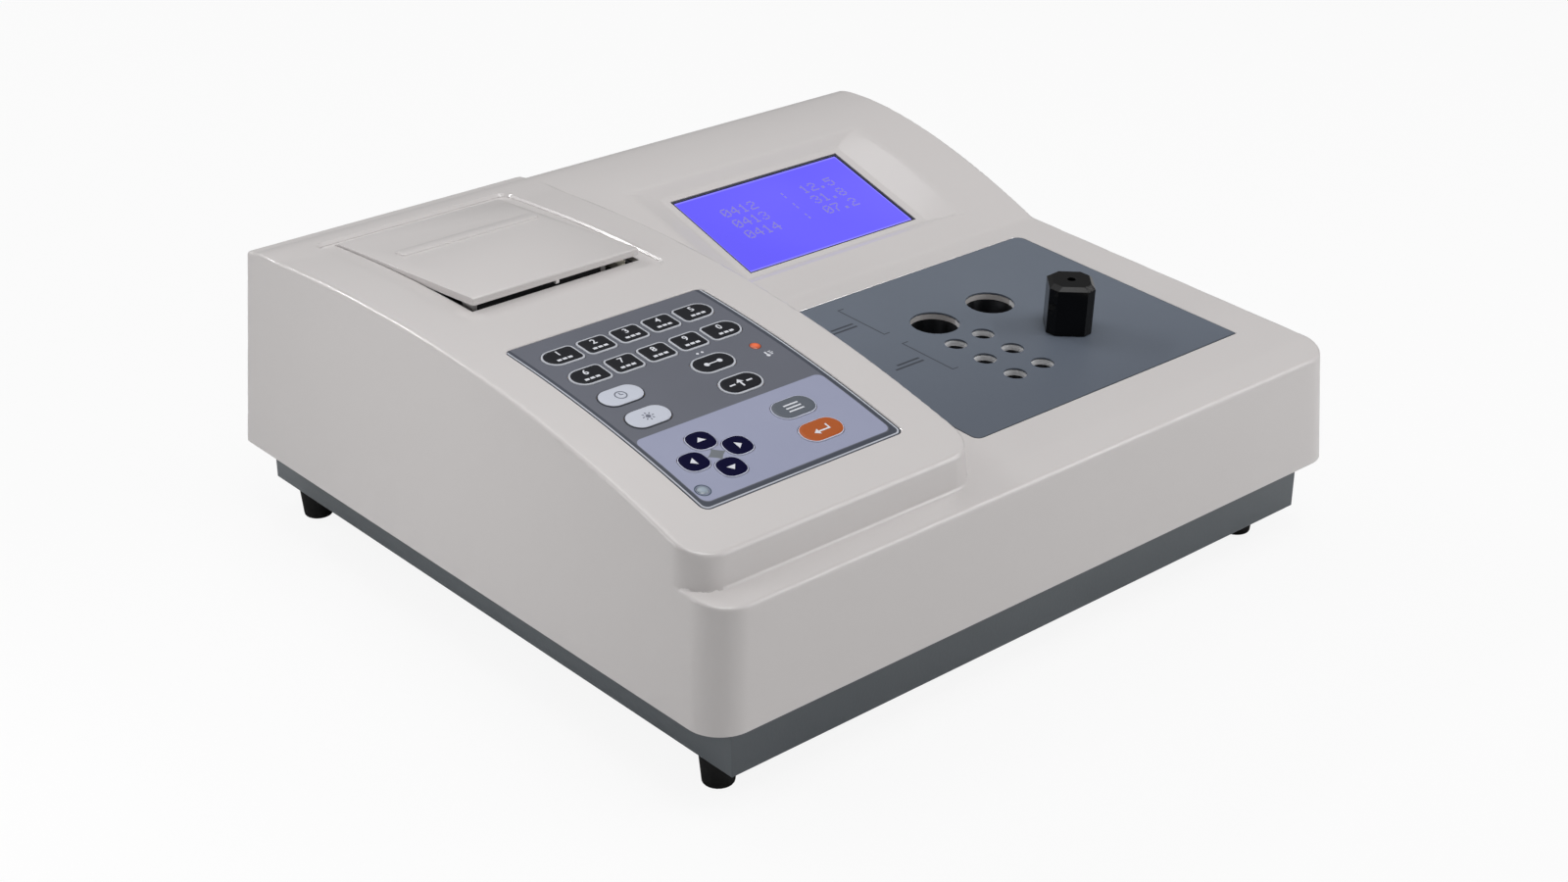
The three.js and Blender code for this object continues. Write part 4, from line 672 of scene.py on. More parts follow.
def merged_copy(name, label):
    mesh = bpy.data.meshes.new(label)
    work = bmesh.new()
    work.from_mesh(nodes[name].data)
    bmesh.ops.remove_doubles(work, verts=work.verts, dist=2e-6)
    bmesh.ops.dissolve_limit(work, angle_limit=0.01, verts=work.verts, edges=work.edges)
    work.to_mesh(mesh)
    work.free()
    if "custom_normal" in mesh.attributes:
        mesh.attributes.remove(mesh.attributes["custom_normal"])
    return added(label, mesh)


def round_edges(thing, width, segments=2, angle=30):
    modifier(thing, "BEVEL", width=width, segments=segments, limit_method="ANGLE",
             angle_limit=math.radians(angle), harden_normals=True)
    return finish_modifiers(thing)


def softened(name, width, segments=2, angle=30):
    return round_edges(merged_copy(name, name + "_rounded"), width * MM, segments, angle)


def merged(name, things):
    """One object from several, with the materials of each."""
    materials, work = [], bmesh.new()
    for thing in things:
        own = [slot.material for slot in thing.material_slots]
        first = len(work.faces)
        work.from_mesh(thing.data)
        work.faces.ensure_lookup_table()
        for face in work.faces[first:]:
            material = own[face.material_index]
            if material not in materials:
                materials.append(material)
            face.material_index = materials.index(material)
        bpy.data.objects.remove(thing)
    mesh = bpy.data.meshes.new(name)
    work.to_mesh(mesh)
    work.free()
    for material in materials:
        mesh.materials.append(material)
    return added(name, mesh)


def ring_prism(name, inner, outer, low, high, transform):
    count = 32
    rings = [circle(0, 0, r, count) for r in (inner, outer)]
    points = [(x, y, z) for z in (low, high) for ring in rings for x, y in ring]
    inner_low, outer_low, inner_high, outer_high = (count * level for level in range(4))
    faces = []
    for i in range(count):
        j = (i + 1) % count
        faces += [[outer_low + i, outer_low + j, outer_high + j, outer_high + i],
                  [inner_low + j, inner_low + i, inner_high + i, inner_high + j],
                  [inner_high + i, outer_high + i, outer_high + j, inner_high + j],
                  [inner_low + j, outer_low + j, outer_low + i, inner_low + i]]
    return mesh_object(name, points, faces, transform)


def shade_smooth(thing, angle=35):
    """Smooth shading with sharp edges, kept as the mesh's own sharp marks."""
    mesh = thing.data
    work = bmesh.new()
    work.from_mesh(mesh)
    for edge in work.edges:
        edge.smooth = len(edge.link_faces) == 2 and edge.calc_face_angle(0) < math.radians(angle)
    for face in work.faces:
        face.smooth = True
    work.to_mesh(mesh)
    work.free()
    return thing


slot_of_node = {part["node"]: part["material_slot"] for part in frame["record"]["subparts"]}

# %% [markdown]
# ## Finishes for the CAD nodes
# Pieces inside the case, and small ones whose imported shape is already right, keep that shape and only
# get their finish.

# %% Give each carried-over node its finish
finishes["paper"] = paper_white
for name, slot in slot_of_node.items():
    for held in nodes[name].material_slots:
        held.material = finishes.get(slot, held.material)
print("finished nodes:", sum(slot in finishes for slot in slot_of_node.values()))

# %% [markdown]
# ## The keypad's membrane
# A membrane keypad is a printed polyester film, stuck into a shallow pocket that follows the column's
# curve. The print is a few flat shapes with crisp edges: a dark field, a lavender field, a dark
# border and one thin light line. Each is a distance to a rounded rectangle, measured in millimetres
# in the case's own frame, so the print needs no unwrapping and no picture.

# %% Print shapes as masks
def object_axes(wire):
    split = wire.node("ShaderNodeSeparateXYZ", inputs={0: place(wire)})
    return [Wire(wire.tree, axis) for axis in split.socket.node.outputs]


def case_axes(wire):
    """Where the shaded point is in the case's own frame, in millimetres."""
    across, along, _ = object_axes(wire)
    return across * 1000 + 165, along * 1000 + 155.1


def in_box(x, y, x0, x1, y0, y1, radius, blur=0.12):
    """1 inside a rounded rectangle, 0 outside it."""
    away_x = abs(x - (x0 + x1) / 2) - ((x1 - x0) / 2 - radius)
    away_y = abs(y - (y0 + y1) / 2) - ((y1 - y0) / 2 - radius)
    out_x, out_y = away_x.at_least(0.0), away_y.at_least(0.0)
    distance = (out_x * out_x + out_y * out_y).power(0.5) + away_x.at_least(away_y).at_most(0.0) - radius
    return 1 - distance.soft_step(-blur, blur)


def in_ring(x, y, at, radius, width, blur=0.12):
    offset_x, offset_y = x - at[0], y - at[1]
    distance = abs((offset_x * offset_x + offset_y * offset_y).power(0.5) - radius) - width / 2
    return 1 - distance.soft_step(-blur, blur)


membrane_print, shader, wire = new_material("membrane_print", Coat_Weight=0.15, Coat_Roughness=0.3)
x, y = case_axes(wire)
dark_field = noise(wire, 0.03).blend(colour("5b5e68"), colour("61646f"))
lavender_field = noise(wire, 0.03).blend(colour("9296af"), colour("999db5"))
surface_colour = in_box(x, y, 27.9, 114.5, 37.9, 170, 3).blend(colour("3b404c"), dark_field)
line = in_box(x, y, 25.9, 116.7, 35.4, 170, 2.6) * (1 - in_box(x, y, 26.5, 116.1, 36.0, 170, 2.2))
surface_colour = line.blend(surface_colour, colour("b9bdc6"))
surface_colour = in_box(x, y, 28.2, 114.2, 38.3, 76.8, 3).blend(surface_colour, lavender_field)
star_x, star_y = abs(x - 49) / 4.4, abs(y - 57) / 3.6
star = 1 - (star_x.power(0.8) + star_y.power(0.8)).soft_step(0.93, 1.0)
surface_colour = star.blend(surface_colour, colour("6b7076"))
surface_colour = in_ring(x, y, (31.8, 43.8), 2.75, 0.5).blend(surface_colour, colour("2f4352"))
feed(shader, "Base Color", surface_colour)
weave = noise(wire, 0.0005)
feed(shader, "Roughness", 0.38 + 0.08 * weave)
feed_bump(shader, weave, 0.000006)
print("membrane print has", len(membrane_print.node_tree.nodes), "nodes")

# %% The keys' places, outlines and colours
DIGIT, PILL = (11.4, 0.6), (11.2, 0.35)
digit_keys = []
for row, y in enumerate((134.61, 118.205)):
    for column in range(5):
        width = 16 if column in (0, 4) else 13.5
        x = (40.6, 56.75, 71.75, 86.75, 102.9)[column]
        ends = (5.69 if column == 0 else 2.5, 5.69 if column == 4 else 2.5)
        digit_keys.append((f"key_{(row * 5 + column + 1) % 10}", x, y, width, ends))
pill_keys = [("key_timer", 42.0, 101.457), ("key_optic", 42.0, 85.909), ("key_online", 84.5, 101.457),
             ("key_feed", 84.5, 85.909), ("key_menu", 91.2, 64.817), ("key_enter", 91.2, 50.013)]
arrow_keys = [("key_up", 48.8, 65.401, 90), ("key_down", 48.8, 48.801, -90),
              ("key_left", 39.0, 57.101, 180), ("key_right", 58.6, 57.101, 0)]


def key_frame(x, y):
    rise = column_height(y + 5.7) - column_height(y - 5.7)
    lean = Matrix.Rotation(math.atan2(rise, 11.4), 4, "X")
    return case_frame @ Matrix.Translation((x, y, column_height(y))) @ lean


def pill(width, height, ends):
    def outline(grow):
        left, right_end = (max(e + grow, 0.3) for e in ends)
        x, y = width / 2 + grow, height / 2 + grow
        return round_outline(-x, x, -y, y, (right_end, left, left, right_end))
    return outline


def plump(width, height):
    """A rectangle with bulging sides, whose corners come from a power of the circle's own curve."""
    def outline(grow):
        points = []
        for c, s in circle(0, 0, 1):
            points.append(((width / 2 + grow) * math.copysign(abs(c) ** (2 / 2.6), c),
                           (height / 2 + grow) * math.copysign(abs(s) ** (2 / 2.6), s)))
        return points
    return outline


outline_of = {name: (x, y, pill(width, 11.4, ends)) for name, x, y, width, ends in digit_keys}
outline_of.update({name: (x, y, pill(18.7, 11.2, (5.59, 5.59))) for name, x, y in pill_keys})
outline_of.update({name: (x, y, plump(11.4, 10.6)) for name, x, y, _ in arrow_keys})
print(len(outline_of), "keys")

# %% The membrane sheet, with an opening for each key
TEMPERATURE_LAMP, POWER_LAMP = (105.8, 102.8), (31.8, 43.8)
edges = (KEYPAD[0] + 0.2, KEYPAD[1] - 0.2, KEYPAD[2] + 0.2, KEYPAD[3] - 0.2)
membrane = draped("keypad_sheet", *edges, four(2.8), [(-1.08, 0), (-0.45, 0), (-0.35, -0.1)], 48, case_frame)
openings = [prism("opening", outline(0.12), -3, 2, key_frame(x, y)) for x, y, outline in outline_of.values()]
openings += [prism("opening", circle(0, 0, 2.3), -3, 2, key_frame(*at)) for at in (TEMPERATURE_LAMP, POWER_LAMP)]
carve(membrane, *openings)
stand_in(shade_smooth(membrane), "keypad_membrane", membrane_print)
print(len(membrane.data.polygons), "faces in the membrane")

# %% [markdown]
# ## The keys
# Each key is an embossed dome of the same film, with an outline printed round it. They are modelled
# one by one, because each one travels. A key is a stack of outlines: up the side, over a light ring,
# down a hairline, and across a slightly crowned face. The digits are plain text turned into mesh, and
# the other keys carry simple signs, such as bars, a dial or an arrow.

# %% Key finishes and marks
ring_print = grained("ring_print", "b7bac2", 0.4, 0.0006, 0.000004)
halo_print = grained("halo_print", "c3c7da", 0.4, 0.0006, 0.000004)
edge_print = grained("edge_print", "42454e", 0.4, 0.0006, 0.000004)
dark_key_print = grained("dark_key_print", "1c1d22", 0.36, 0.0006, 0.000006,
                         Specular_IOR_Level=0.15)
light_key_print = grained("light_key_print", "c3c7d3", 0.38, 0.0006, 0.000006)
gray_key_print = grained("gray_key_print", "585e67", 0.38, 0.0006, 0.000006)
orange_key_print = grained("orange_key_print", "ac5212", 0.38, 0.0006, 0.000006)
navy_key_print = grained("navy_key_print", "07062c", 0.4, 0.0006, 0.000006,
                         Specular_IOR_Level=0.05)
mark_print = grained("mark_print", "d9dbe2", 0.45, 0.0005, 0.000003)
gray_mark_print = grained("gray_mark_print", "6a6e7c", 0.45, 0.0005, 0.000003)
FACE, MARK_PROUD = -0.02, 0.05


def numeral(text, size, x, y, transform):
    curve = bpy.data.curves.new("numeral", "FONT")
    curve.body, curve.size, curve.extrude, curve.offset = text, size, 0.03, 0.015 * size
    curve.align_x, curve.align_y, curve.resolution_u = "CENTER", "CENTER", 3
    holder = added("numeral", curve)
    bpy.context.view_layer.update()
    mesh = bpy.data.meshes.new_from_object(holder.evaluated_get(bpy.context.evaluated_depsgraph_get()))
    bpy.data.objects.remove(holder)
    mesh.transform(transform @ Matrix.Translation((x, y, FACE + 0.03)))
    return shown_as_is(added("numeral", mesh), mark_print)


def mark(points, transform, material=mark_print):
    return shown_as_is(prism("mark", points, FACE - 0.1, FACE + MARK_PROUD, transform), material)


def bar(x0, x1, y0, y1):
    return [(x1, y1), (x0, y1), (x0, y0), (x1, y0)]


def turned(points, degrees):
    c, s = math.cos(math.radians(degrees)), math.sin(math.radians(degrees))
    return [(c * x - s * y, s * x + c * y) for x, y in points]


def key_body(name, ring, ring_material, face_material):
    x, y, outline = outline_of[name]
    levels = [(-0.8, -0.1), (-0.4, -0.1), (-0.16, -0.14), (-0.08, -0.28), (-0.08, -0.28 - ring),
              (-0.14, -0.4 - ring), (-0.06, -0.6 - ring), (FACE, -1.6 - ring)]
    made = loft(name + "_cap", [(height, outline(grow)) for height, grow in levels], key_frame(x, y))
    count = len(outline(0))
    shown_as_is(made, ring_material, face_material)
    for face in made.data.polygons:
        band = (face.index - 1) // count
        face.material_index = 1 if band >= 4 or face.index == len(made.data.polygons) - 1 else 0
        face.use_smooth = face.loop_total == 4
    return made


print("marks stand", MARK_PROUD, "mm proud of the keys")

# %% Digit keys
for name, x, y, width, ends in digit_keys:
    at = key_frame(x, y)
    parts = [key_body(name, 0.6, ring_print, dark_key_print), numeral(name[-1], 4.4, 0, 2.0, at)]
    parts += [mark(bar(-3.3 + 2.4 * i, -1.5 + 2.4 * i, -2.9, -1.7), at) for i in range(3)]
    stand_in(merged(name + "_cap", parts), name)
print(len(digit_keys), "digit keys")

# %% Keys with signs
def sign(name, at, material):
    rays = [turned(bar(1.5, 2.4, -0.22, 0.22), 45 * i) for i in range(8)]
    shapes = {
        "key_timer": [bar(-0.22, 0.22, 0, 1.5), bar(0, 1.1, -0.2, 0.2)],
        "key_optic": [circle(0, 0, 1.0, 20), *rays],
        "key_online": [circle(-3, 0, 1.1, 20), bar(-2.2, 2.2, -0.3, 0.3), circle(3, 0, 1.1, 20)],
        "key_feed": [bar(-0.4, 0.4, -2.2, 0.6), [(-1.6, 0.4), (1.6, 0.4), (0, 2.4)], bar(2.6, 5.2, -0.4, 0.4),
                     bar(-5.2, -2.6, -0.4, 0.4)],
        "key_menu": [bar(-3.4, 3.4, -0.35 + d, 0.35 + d) for d in (-1.8, 0, 1.8)],
        "key_enter": [bar(-1.8, 3.6, -1.1, -0.4), bar(2.9, 3.6, -0.4, 1.8),
                      [(-1.6, -2.3), (-1.6, 0.8), (-3.8, -0.75)]],
    }
    made = [mark(points, at, material) for points in shapes[name]]
    if name == "key_timer":
        made.append(shown_as_is(ring_prism("mark", 1.95, 2.45, FACE - 0.1, FACE + MARK_PROUD, at), material))
    return made


pill_finish = {"key_timer": (0.15, edge_print, light_key_print, gray_mark_print),
               "key_optic": (0.15, edge_print, light_key_print, gray_mark_print),
               "key_online": (0.6, ring_print, dark_key_print, mark_print),
               "key_feed": (0.6, ring_print, dark_key_print, mark_print),
               "key_menu": (0.15, halo_print, gray_key_print, mark_print),
               "key_enter": (0.15, halo_print, orange_key_print, mark_print)}
for name, x, y in pill_keys:
    ring, ring_material, face_material, mark_material = pill_finish[name]
    parts = [key_body(name, ring, ring_material, face_material), *sign(name, key_frame(x, y), mark_material)]
    stand_in(merged(name + "_cap", parts), name)
for name, x, y, heading in arrow_keys:
    tip = turned([(-0.5, -1.9), (1.8, 0), (-0.5, 1.9)], heading)
    parts = [key_body(name, 0.1, halo_print, navy_key_print), mark(tip, key_frame(x, y))]
    stand_in(merged(name + "_cap", parts), name)
print(len(pill_keys) + len(arrow_keys), "keys with signs")

# %% Lamps behind the film
def lens(name, x, y, base, glow):
    material, shader, wire = new_material(name + "_lens", Roughness=0.25, Coat_Weight=0.4)
    px, py = case_axes(wire)
    rim = in_ring(px, py, (x, y), 0.0, 2.6, 0.9)
    feed(shader, "Base Color", rim.blend(shade(base, 0.7), base))
    feed(shader, "Emission Color", rim.blend((0, 0, 0, 1), shade(base, glow)))
    shader.inputs["Emission Strength"].default_value = 1.0
    levels = [(-1.0, 2.15), (-0.3, 2.15), (-0.12, 1.9), (-0.02, 1.3), (0.0, 0.5)]
    made = loft(name + "_dome", [(h, circle(0, 0, r, 28)) for h, r in levels], key_frame(x, y))
    stand_in(shade_smooth(made), name, material)


lens("temperature_lamp", *TEMPERATURE_LAMP, colour("d8643c"), 0.35)
lens("power_lamp", *POWER_LAMP, colour("9aa7b4"), 0.0)
hint = key_frame(105.8, 96.3)
shapes = [bar(-0.35, 0.35, -0.6, 1.4), circle(0, -1.1, 0.75, 16), bar(1.3, 3.0, -0.1, 0.3), bar(1.3, 2.4, 0.8, 1.2),
          bar(1.3, 2.4, -1.0, -0.6)]
hints = [mark(shape, hint) for shape in shapes]
hints += [mark(circle(x, 0, 0.55, 16), key_frame(84.8, 109.5)) for x in (-1.1, 1.1)]
for piece in hints:
    piece.data.transform(Matrix.Translation((0, 0, -0.00028)))
signs = merged("keypad_signs", hints)
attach(signs, "housing")
print(len(hints), "small signs beside the keys")

# %% [markdown]
# ## The printer's cover
# The cover is a thin moulded plate with a full-width barrel at its rear, a turned-down lip at its
# front and a low ridge to lift it by. The plate is drawn as one profile and swept across, which keeps
# its thickness even. What hangs under it, the ears that hold the platen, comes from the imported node.

# %% Cover
def across_case(name, profile, x0, x1):
    """A solid swept across the case from a counter-clockwise profile of (y, z) points."""
    cyclic = Matrix(((0, 0, 1, 0), (1, 0, 0, 0), (0, 1, 0, 0), (0, 0, 0, 1)))
    return prism(name, profile, x0, x1, case_frame @ cyclic)


def rod_across(name, radius, x0, x1):
    return across_case(name, circle(*HINGE, radius, 32), x0, x1)


def under(y):
    """The height of the cover's underside."""
    return 88.0 - (y - 184.5) * 6.5 / 93.9


HINGE, BARREL = (278.4, 81.6), 2.95
barrel = [(HINGE[0] + BARREL * math.cos(math.radians(a)), HINGE[1] + BARREL * math.sin(math.radians(a)))
          for a in range(205, 449, 12)]
lip = [(185.4, 91.0), (184.95, 90.9), (184.6, 90.6), (184.5, 90.2), (184.5, 89.75), (184.68, 89.6), (184.5, 89.45),
       (184.5, 88.35), (184.75, 88.02)]
cover = across_case("cover_plate", [(272.0, under(272.0)), *barrel, *lip], 36.9, 115.3)
round_edges(cover, 0.8 * MM, 3, 60)
low_parts = merged_copy("printer_cover", "cover_low_parts")
slab = across_case("slab", [(170, under(170) + 1), (290, under(290) + 1), (290, 120), (170, 120)], 20, 130)
carve(low_parts, slab)
slope_of_cover = Matrix.Rotation(math.atan2(84.55 - 91.0, 278.6 - 185.4), 4, "X")
ridge_frame = case_frame @ Matrix.Translation((79.0, 249.0, 86.6)) @ slope_of_cover
ridge = loft("ridge", [(height, round_outline(-33 + side, 33 - side, -3.4 + side, 3.4 - side, four(1.6)))
                       for height, side in ((-0.6, 0), (0.45, 0.1), (0.8, 0.4), (0.9, 0.8))], ridge_frame)
nub = across_case("nub", [(184.6, 88.3), (184.9, 86.4), (186.2, 86.4), (186.2, 88.6)], 75.4, 76.8)
carve(cover, low_parts, ridge, nub, operation="UNION")
cuts = [rod_across("pin_bore", 1.3, 30, 120)]
for x in (50.4, 99.2):
    cuts.append(rod_across("lug_turn", 2.75, x, x + 2.6))
    swept = [(275.65, 74), (290, 74), (290, 84.3), (278.4, 84.3), (278.4, 81.6), (275.65, 81.6)]
    cuts.append(across_case("lug_sweep", swept, x, x + 2.6))
carve(cover, *cuts)
stand_in(shade_smooth(cover, 25), "printer_cover", case_plastic)
print(len(cover.data.polygons), "faces in the cover")

# %% [markdown]
# ## The display
# A graphic display is a module with a metal or plastic bezel, seen through a clear pane. Its
# characters are square dots on a regular grid, five wide and seven high, so the dots are laid out by
# rule: the script sets one point for each lit dot, and a node tree puts a square on every point. The
# readings are made-up numbers.

# %% A node tree that puts a copy of a small shape on every point
def scatter_tree(name, kind, size, material):
    """Geometry Nodes: instance one small solid on each vertex, with its size as a named input."""
    tree = bpy.data.node_groups.new(name, "GeometryNodeTree")
    tree.interface.new_socket("Geometry", in_out="INPUT", socket_type="NodeSocketGeometry")
    size_input = tree.interface.new_socket("Size", in_out="INPUT", socket_type="NodeSocketVector")
    tree.interface.new_socket("Geometry", in_out="OUTPUT", socket_type="NodeSocketGeometry")
    wanted = {"source": "NodeGroupInput", "solid": kind, "spread": "GeometryNodeInstanceOnPoints",
              "real": "GeometryNodeRealizeInstances", "finish": "GeometryNodeSetMaterial",
              "result": "NodeGroupOutput"}
    made = {label: tree.nodes.new(node_kind) for label, node_kind in wanted.items()}
    made["finish"].inputs["Material"].default_value = material
    link = tree.links.new
    link(made["source"].outputs["Geometry"], made["spread"].inputs["Points"])
    if kind == "GeometryNodeMeshCube":
        link(made["source"].outputs["Size"], made["solid"].inputs["Size"])
    else:
        split = tree.nodes.new("ShaderNodeSeparateXYZ")
        link(made["source"].outputs["Size"], split.inputs[0])
        link(split.outputs[0], made["solid"].inputs["Radius"])
        link(split.outputs[2], made["solid"].inputs["Depth"])
        made["solid"].inputs["Vertices"].default_value = int(size[1])
    link(made["solid"].outputs["Mesh"], made["spread"].inputs["Instance"])
    link(made["spread"].outputs["Instances"], made["real"].inputs["Geometry"])
    link(made["real"].outputs["Geometry"], made["finish"].inputs["Geometry"])
    link(made["finish"].outputs["Geometry"], made["result"].inputs["Geometry"])
    return tree, size_input.identifier


def scattered(name, points, kind, size, material, transform):
    """A mesh of small solids on points, laid flat first and then put in place."""
    tree, size_key = scatter_tree(name, kind, size, material)
    made = mesh_object(name, points, [])
    modifier_made = made.modifiers.new("scatter", "NODES")
    modifier_made.node_group = tree
    modifier_made[size_key] = size if kind == "GeometryNodeMeshCube" else (size[0], size[0], size[2])
    finish_modifiers(made)
    made.data.transform(transform)
    return made


GLYPHS = {
    "0": "01110 10001 10011 10101 11001 10001 01110", "1": "00100 01100 00100 00100 00100 00100 01110",
    "2": "01110 10001 00001 00110 01000 10000 11111", "3": "01110 10001 00001 00110 00001 10001 01110",
    "4": "00010 00110 01010 10010 11111 00010 00010", "5": "11111 10000 11110 00001 00001 10001 01110",
    "7": "11111 00001 00010 00100 01000 01000 01000",
    "8": "01110 10001 10001 01110 10001 10001 01110",
    ":": "00000 00100 00100 00000 00100 00100 00000", ".": "00000 00000 00000 00000 00000 01100 01100"}


PITCH, DOT_HEIGHT = 0.82, -0.6


def dot_places(text, left, top):
    places = []
    for number, character in enumerate(text):
        for row, line_of_dots in enumerate(GLYPHS[character].split()):
            for column, lit in enumerate(line_of_dots):
                if lit == "1":
                    places.append((left + (number * 6 + column) * PITCH, top - row * PITCH, DOT_HEIGHT))
    return places


lcd_glass, shader, wire = new_material("screen_glass", Roughness=0.22, Coat_Weight=0.0)
x, y = case_axes(wire)
lcd_drift = (0.6 * noise(wire, 0.06, 1.0) + 0.4 * ((x - 180) / 95)).soft_step(0.2, 0.9)
lit_edge = 1 - in_box(x, y, 180.9, 273.0, 193.5, 242.6, 0.6, 0.3)
lcd_colour = lit_edge.blend(lcd_drift.blend(colour("5f55e6"), colour("6c62ee")), colour("8f88f6"))
feed(shader, "Base Color", lcd_drift.blend(colour("3c36a8"), colour("443ebc")))
feed(shader, "Emission Color", lcd_colour)
shader.inputs["Emission Strength"].default_value = 0.78
feed_bump(shader, noise(wire, 0.0004), 0.000003)
lcd_dot = grained("lcd_dot", "6f6a96", 0.4, 0.0004, 0.000002)
lcd_dot_shader = lcd_dot.node_tree.nodes["Principled BSDF"]
lcd_dot_shader.inputs["Emission Color"].default_value = colour("8580b4")
lcd_dot_shader.inputs["Emission Strength"].default_value = 0.55
dots = []
for row, readings in enumerate((("0412", ":", "12.5"), ("0413", ":", "31.8"), ("0414", ":", "07.2"))):
    for text, left in zip(readings, (-31, 2, 14)):
        dots += dot_places(text, left, 14.2 - 8.3 * row)
characters = scattered("lcd_characters", dots, "GeometryNodeMeshCube", (0.68, 0.68, 0.08), lcd_dot, screen_frame)
pane = loft("pane", [(height, round_outline(-46.5 + side, 46.5 - side, -26.5 + side, 26.5 - side, four(0.4)))
                     for height, side in ((-1.4, 0), (-0.68, 0), (-0.6, 0.1))], screen_frame)
shown_as_is(pane, lcd_glass)
stand_in(merged("display_pane", [pane, characters]), "screen_pane")
bezel_plastic = grained("bezel_plastic", "2c2f3c", 0.35, 0.0006, 0.000006)
stand_in(softened("screen_module", 0.2), "screen_module", bezel_plastic)
print(len(dots), "lit dots on the display")

# %% [markdown]
# ## The deck's panel and the light shield
# The panel round the wells is a printed film on a thin sheet, laid in a shallow pocket, so its edge
# and the holes in it are crisp. The light shield is a turned and milled cap in polished black
# plastic: a square head with its corners cut off, which a finger and thumb can lift.

# %% Deck panel and cap
panel_print, shader, wire = new_material("panel_print", Coat_Weight=0.05, Coat_Roughness=0.3)
x, y = case_axes(wire)
y = (y - DECK_AT[1]) / math.cos(DECK_TILT)
field_colour = noise(wire, 0.05, 3.0).blend(colour("606874"), colour("666e7a"))
# The field is darkened towards the front and the left: a painted reflection in the glossy panel, not part of the
# print.
painted_reflection_toward_front = (x * 0.5 + y).soft_step(235, 105)
field_colour = (painted_reflection_toward_front * 0.5).blend(field_colour, colour("474e5a"))
line = 1 - in_box(x, y, PANEL[0] + 0.9, PANEL[1] - 0.9, PANEL[2] + 0.9, PANEL[3] - 0.9, 2.6)
surface_colour = line.blend(field_colour, colour("565e69"))
for y0, y1 in ((105, 133), (66, 95)):
    bracket = in_box(x, y, 190.2, 190.8, y0, y1, 0.1)
    for end in (y0, y1 - 0.5):
        bracket = bracket.at_least(in_box(x, y, 190.2, 193.5, end, end + 0.6, 0.1))
    for row in range(2):
        low = (y0 + y1) / 2 - 2 + 2.6 * row
        bracket = bracket.at_least(in_box(x, y, 172 + 3 * row, 187, low, low + 1.1, 0.2))
    surface_colour = bracket.blend(surface_colour, colour("31363f"))
feed(shader, "Base Color", surface_colour)
weave = noise(wire, 0.0006)
feed(shader, "Roughness", 0.4 + 0.08 * weave)
feed_bump(shader, weave, 0.000006)
stand_in(softened("deck_panel", 0.18, 2, 50), "deck_panel", panel_print)
gloss_black = grained("gloss_black", "050506", 0.1, 0.0004, 0.000001, drift=0.1,
                      Specular_IOR_Level=0.2)
stand_in(softened("light_shield_cap", 0.45, 3, 25), "light_shield_cap", gloss_black)
shader = case_plastic.node_tree.nodes["Principled BSDF"]
wire = Wire(case_plastic.node_tree)
x, y = case_axes(wire)
outside = Wire(case_plastic.node_tree, shader.inputs["Base Color"].links[0].from_socket)
# The walls of the wells are painted near white: painted light, standing in for the light that falls into the wells.
painted_light_on_well_walls = in_box(x, y, 190, 280, 38, 116, 1.0)
feed(shader, "Base Color", painted_light_on_well_walls.blend(outside, colour("fbfbfd")))
print(len(panel_print.node_tree.nodes), "nodes in the panel's print")

# %% [markdown]
# ## Chassis, feet and rear fittings
# The chassis is folded sheet, so its edges keep a small bend radius. The feet are moulded rubber cups
# with a rounded sole. The fittings on the rear panel are bought parts: an appliance inlet with a fuse
# drawer, a rocker switch and a nine-way serial socket.

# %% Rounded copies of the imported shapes
for name, width, angle in [("chassis_base", 0.45, 40), ("power_inlet", 0.4, 40), ("fuse_drawer", 0.3, 40),
                           ("switch_frame", 0.4, 40), ("power_rocker", 0.35, 30), ("printer_tub", 0.3, 40),
                           ("print_head", 0.2, 40), ("printer_motor", 0.4, 40), ("heater_block", 0.3, 50),
                           ("block_stand", 0.25, 40), ("power_supply", 0.3, 40), ("main_board", 0.15, 40),
                           ("platen_roller", 0.2, 40), ("platen_gear", 0.1, 30), ("motor_gear", 0.1, 30),
                           ("paper_spindle", 0.2, 40), ("cover_hinge_pin", 0.2, 40)]:
    stand_in(shade_smooth(softened(name, width, 2, angle), 30), name, finishes[slot_of_node[name]])
for side in ("front_left", "front_right", "rear_left", "rear_right"):
    stand_in(shade_smooth(softened("foot_" + side, 0.3, 2, 50), 40), "foot_" + side, foot_rubber)
roll = shade_smooth(softened("paper_roll", 0.35, 2, 40), 30)
low, high = (Vector(f(p[axis] for p in roll.bound_box) for axis in range(3)) for f in (min, max))
middle = (low + high) / 2
wound_paper, shader, wire = new_material("wound_paper", Roughness=0.85)
_, from_y, from_z = object_axes(wire)
from_y, from_z = from_y - middle.y, from_z - middle.z
turns = (from_y * from_y + from_z * from_z).power(0.5) * 9000
layers = turns.math("SINE", turns) * 0.5 + 0.5
feed(shader, "Base Color", layers.blend(colour("efeee9"), colour("d3d1ca")))
stand_in(roll, "paper_roll", wound_paper)
print("the paper roll is", [round(v * 1000, 1) for v in high - low], "mm")

# %% Serial socket
SOCKET = (170.0, 309.9, 16.0)
face_rear = case_frame @ Matrix.Translation(SOCKET) @ Matrix.Rotation(math.radians(-90), 4, "X")
contact_places = [(-5.54 + 2.77 * i, -1.42, 0.0) for i in range(5)]
contact_places += [(-4.155 + 2.77 * i, 1.42, 0.0) for i in range(4)]
ROD = "GeometryNodeMeshCylinder"
contacts = scattered("contacts", contact_places, ROD, (0.55, 14, 0.5), black_plastic, face_rear)
jack_places = [(-12.5, 0, -3.6), (12.5, 0, -3.6)]
jacks = scattered("jack_screws", jack_places, ROD, (2.4, 6, 3.4), bright_steel, face_rear)
shell = shown_as_is(shade_smooth(softened("serial_port", 0.3, 2, 40), 30), bare_sheet)
stand_in(merged("serial_socket", [shell, contacts, jacks]), "serial_port")
print(len(contact_places), "contacts and", len(jack_places), "jack screws")

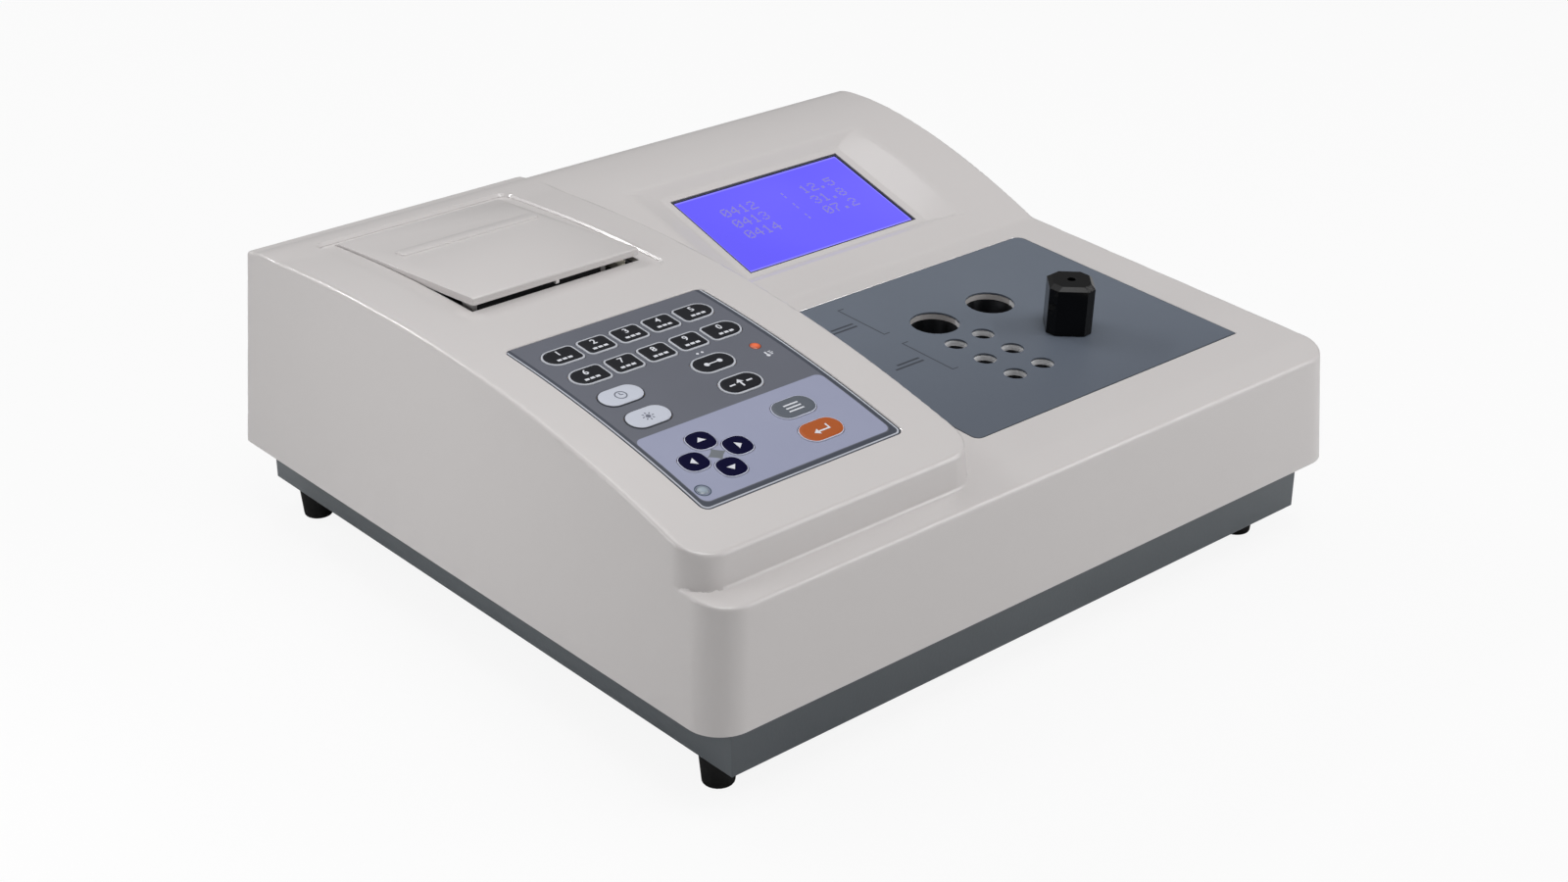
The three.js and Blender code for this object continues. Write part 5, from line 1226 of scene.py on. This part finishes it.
# %% [markdown]
# ## Floor, lamps and the room
# Large soft panels stand left, right and above, as in a product studio, and two long strips draw
# bright lines along the edges. The room is plain white to the camera and dim to the object.

# %% Floor and lamps
def area_light(name, at, toward, size, power):
    lamp = bpy.data.lights.new(name, "AREA")
    lamp.shape, lamp.size, lamp.size_y, lamp.energy = "RECTANGLE", size[0], size[1], power
    aim = (Vector(toward) - Vector(at)).to_track_quat("-Z", "Y").to_matrix().to_4x4()
    added(name, lamp).matrix_world = Matrix.Translation(at) @ aim


floor = mesh_object("floor", [(-6, -6, 0), (6, -6, 0), (6, 6, 0), (-6, 6, 0)], [(0, 1, 2, 3)])
floor_paint, shader, wire = new_material("floor_paint", Roughness=0.6)
seen = wire.node("ShaderNodeLightPath", out=0)
feed(shader, "Base Color", noise(wire, 0.5).blend(colour("d8d8d8"), colour("dcdcdc")))
lit = wire.node("ShaderNodeEmission", inputs={"Color": (1, 1, 1, 1), "Strength": 1.0})
dull = Wire(wire.tree, shader.outputs[0])
mixed = wire.node("ShaderNodeMixShader", inputs={0: seen * 0.9, 1: dull, 2: lit})
feed(wire.tree.nodes["Material Output"], "Surface", mixed)
floor.data.materials.append(floor_paint)
MIDDLE = (0, 0, 0.06)
lamps = [("key_panel", (-0.05, -0.6, 2.1), MIDDLE, (1.2, 1.0), 17),
         ("side_panel", (-0.42, 0.03, 0.22), (-0.16, 0.05, 0.04), (0.16, 0.12), 0.27),
         ("fill_panel", (0.9, -1.1, 0.5), (0.1, 0, 0.05), (0.8, 0.6), 4.7),
         ("top_panel", (0.3, 0.9, 2.0), MIDDLE, (1.4, 1.0), 6.9),
         ("left_edge_strip", (-0.6, 1.5, 1.2), MIDDLE, (0.9, 0.06), 9),
         ("front_edge_strip", (1.25, -0.85, 1.35), MIDDLE, (0.9, 0.06), 5.6)]
for lamp in lamps:
    area_light(*lamp)
room = bpy.data.worlds.new("room")
bpy.context.scene.world = room
room.use_nodes = True
wire = Wire(room.node_tree)
background = room.node_tree.nodes["Background"]
feed(background, "Strength", 0.21 + 0.79 * wire.node("ShaderNodeLightPath", out=0))
background.inputs["Color"].default_value = (1, 1, 1, 1)
print(len(lamps), "lamps and a bright room")
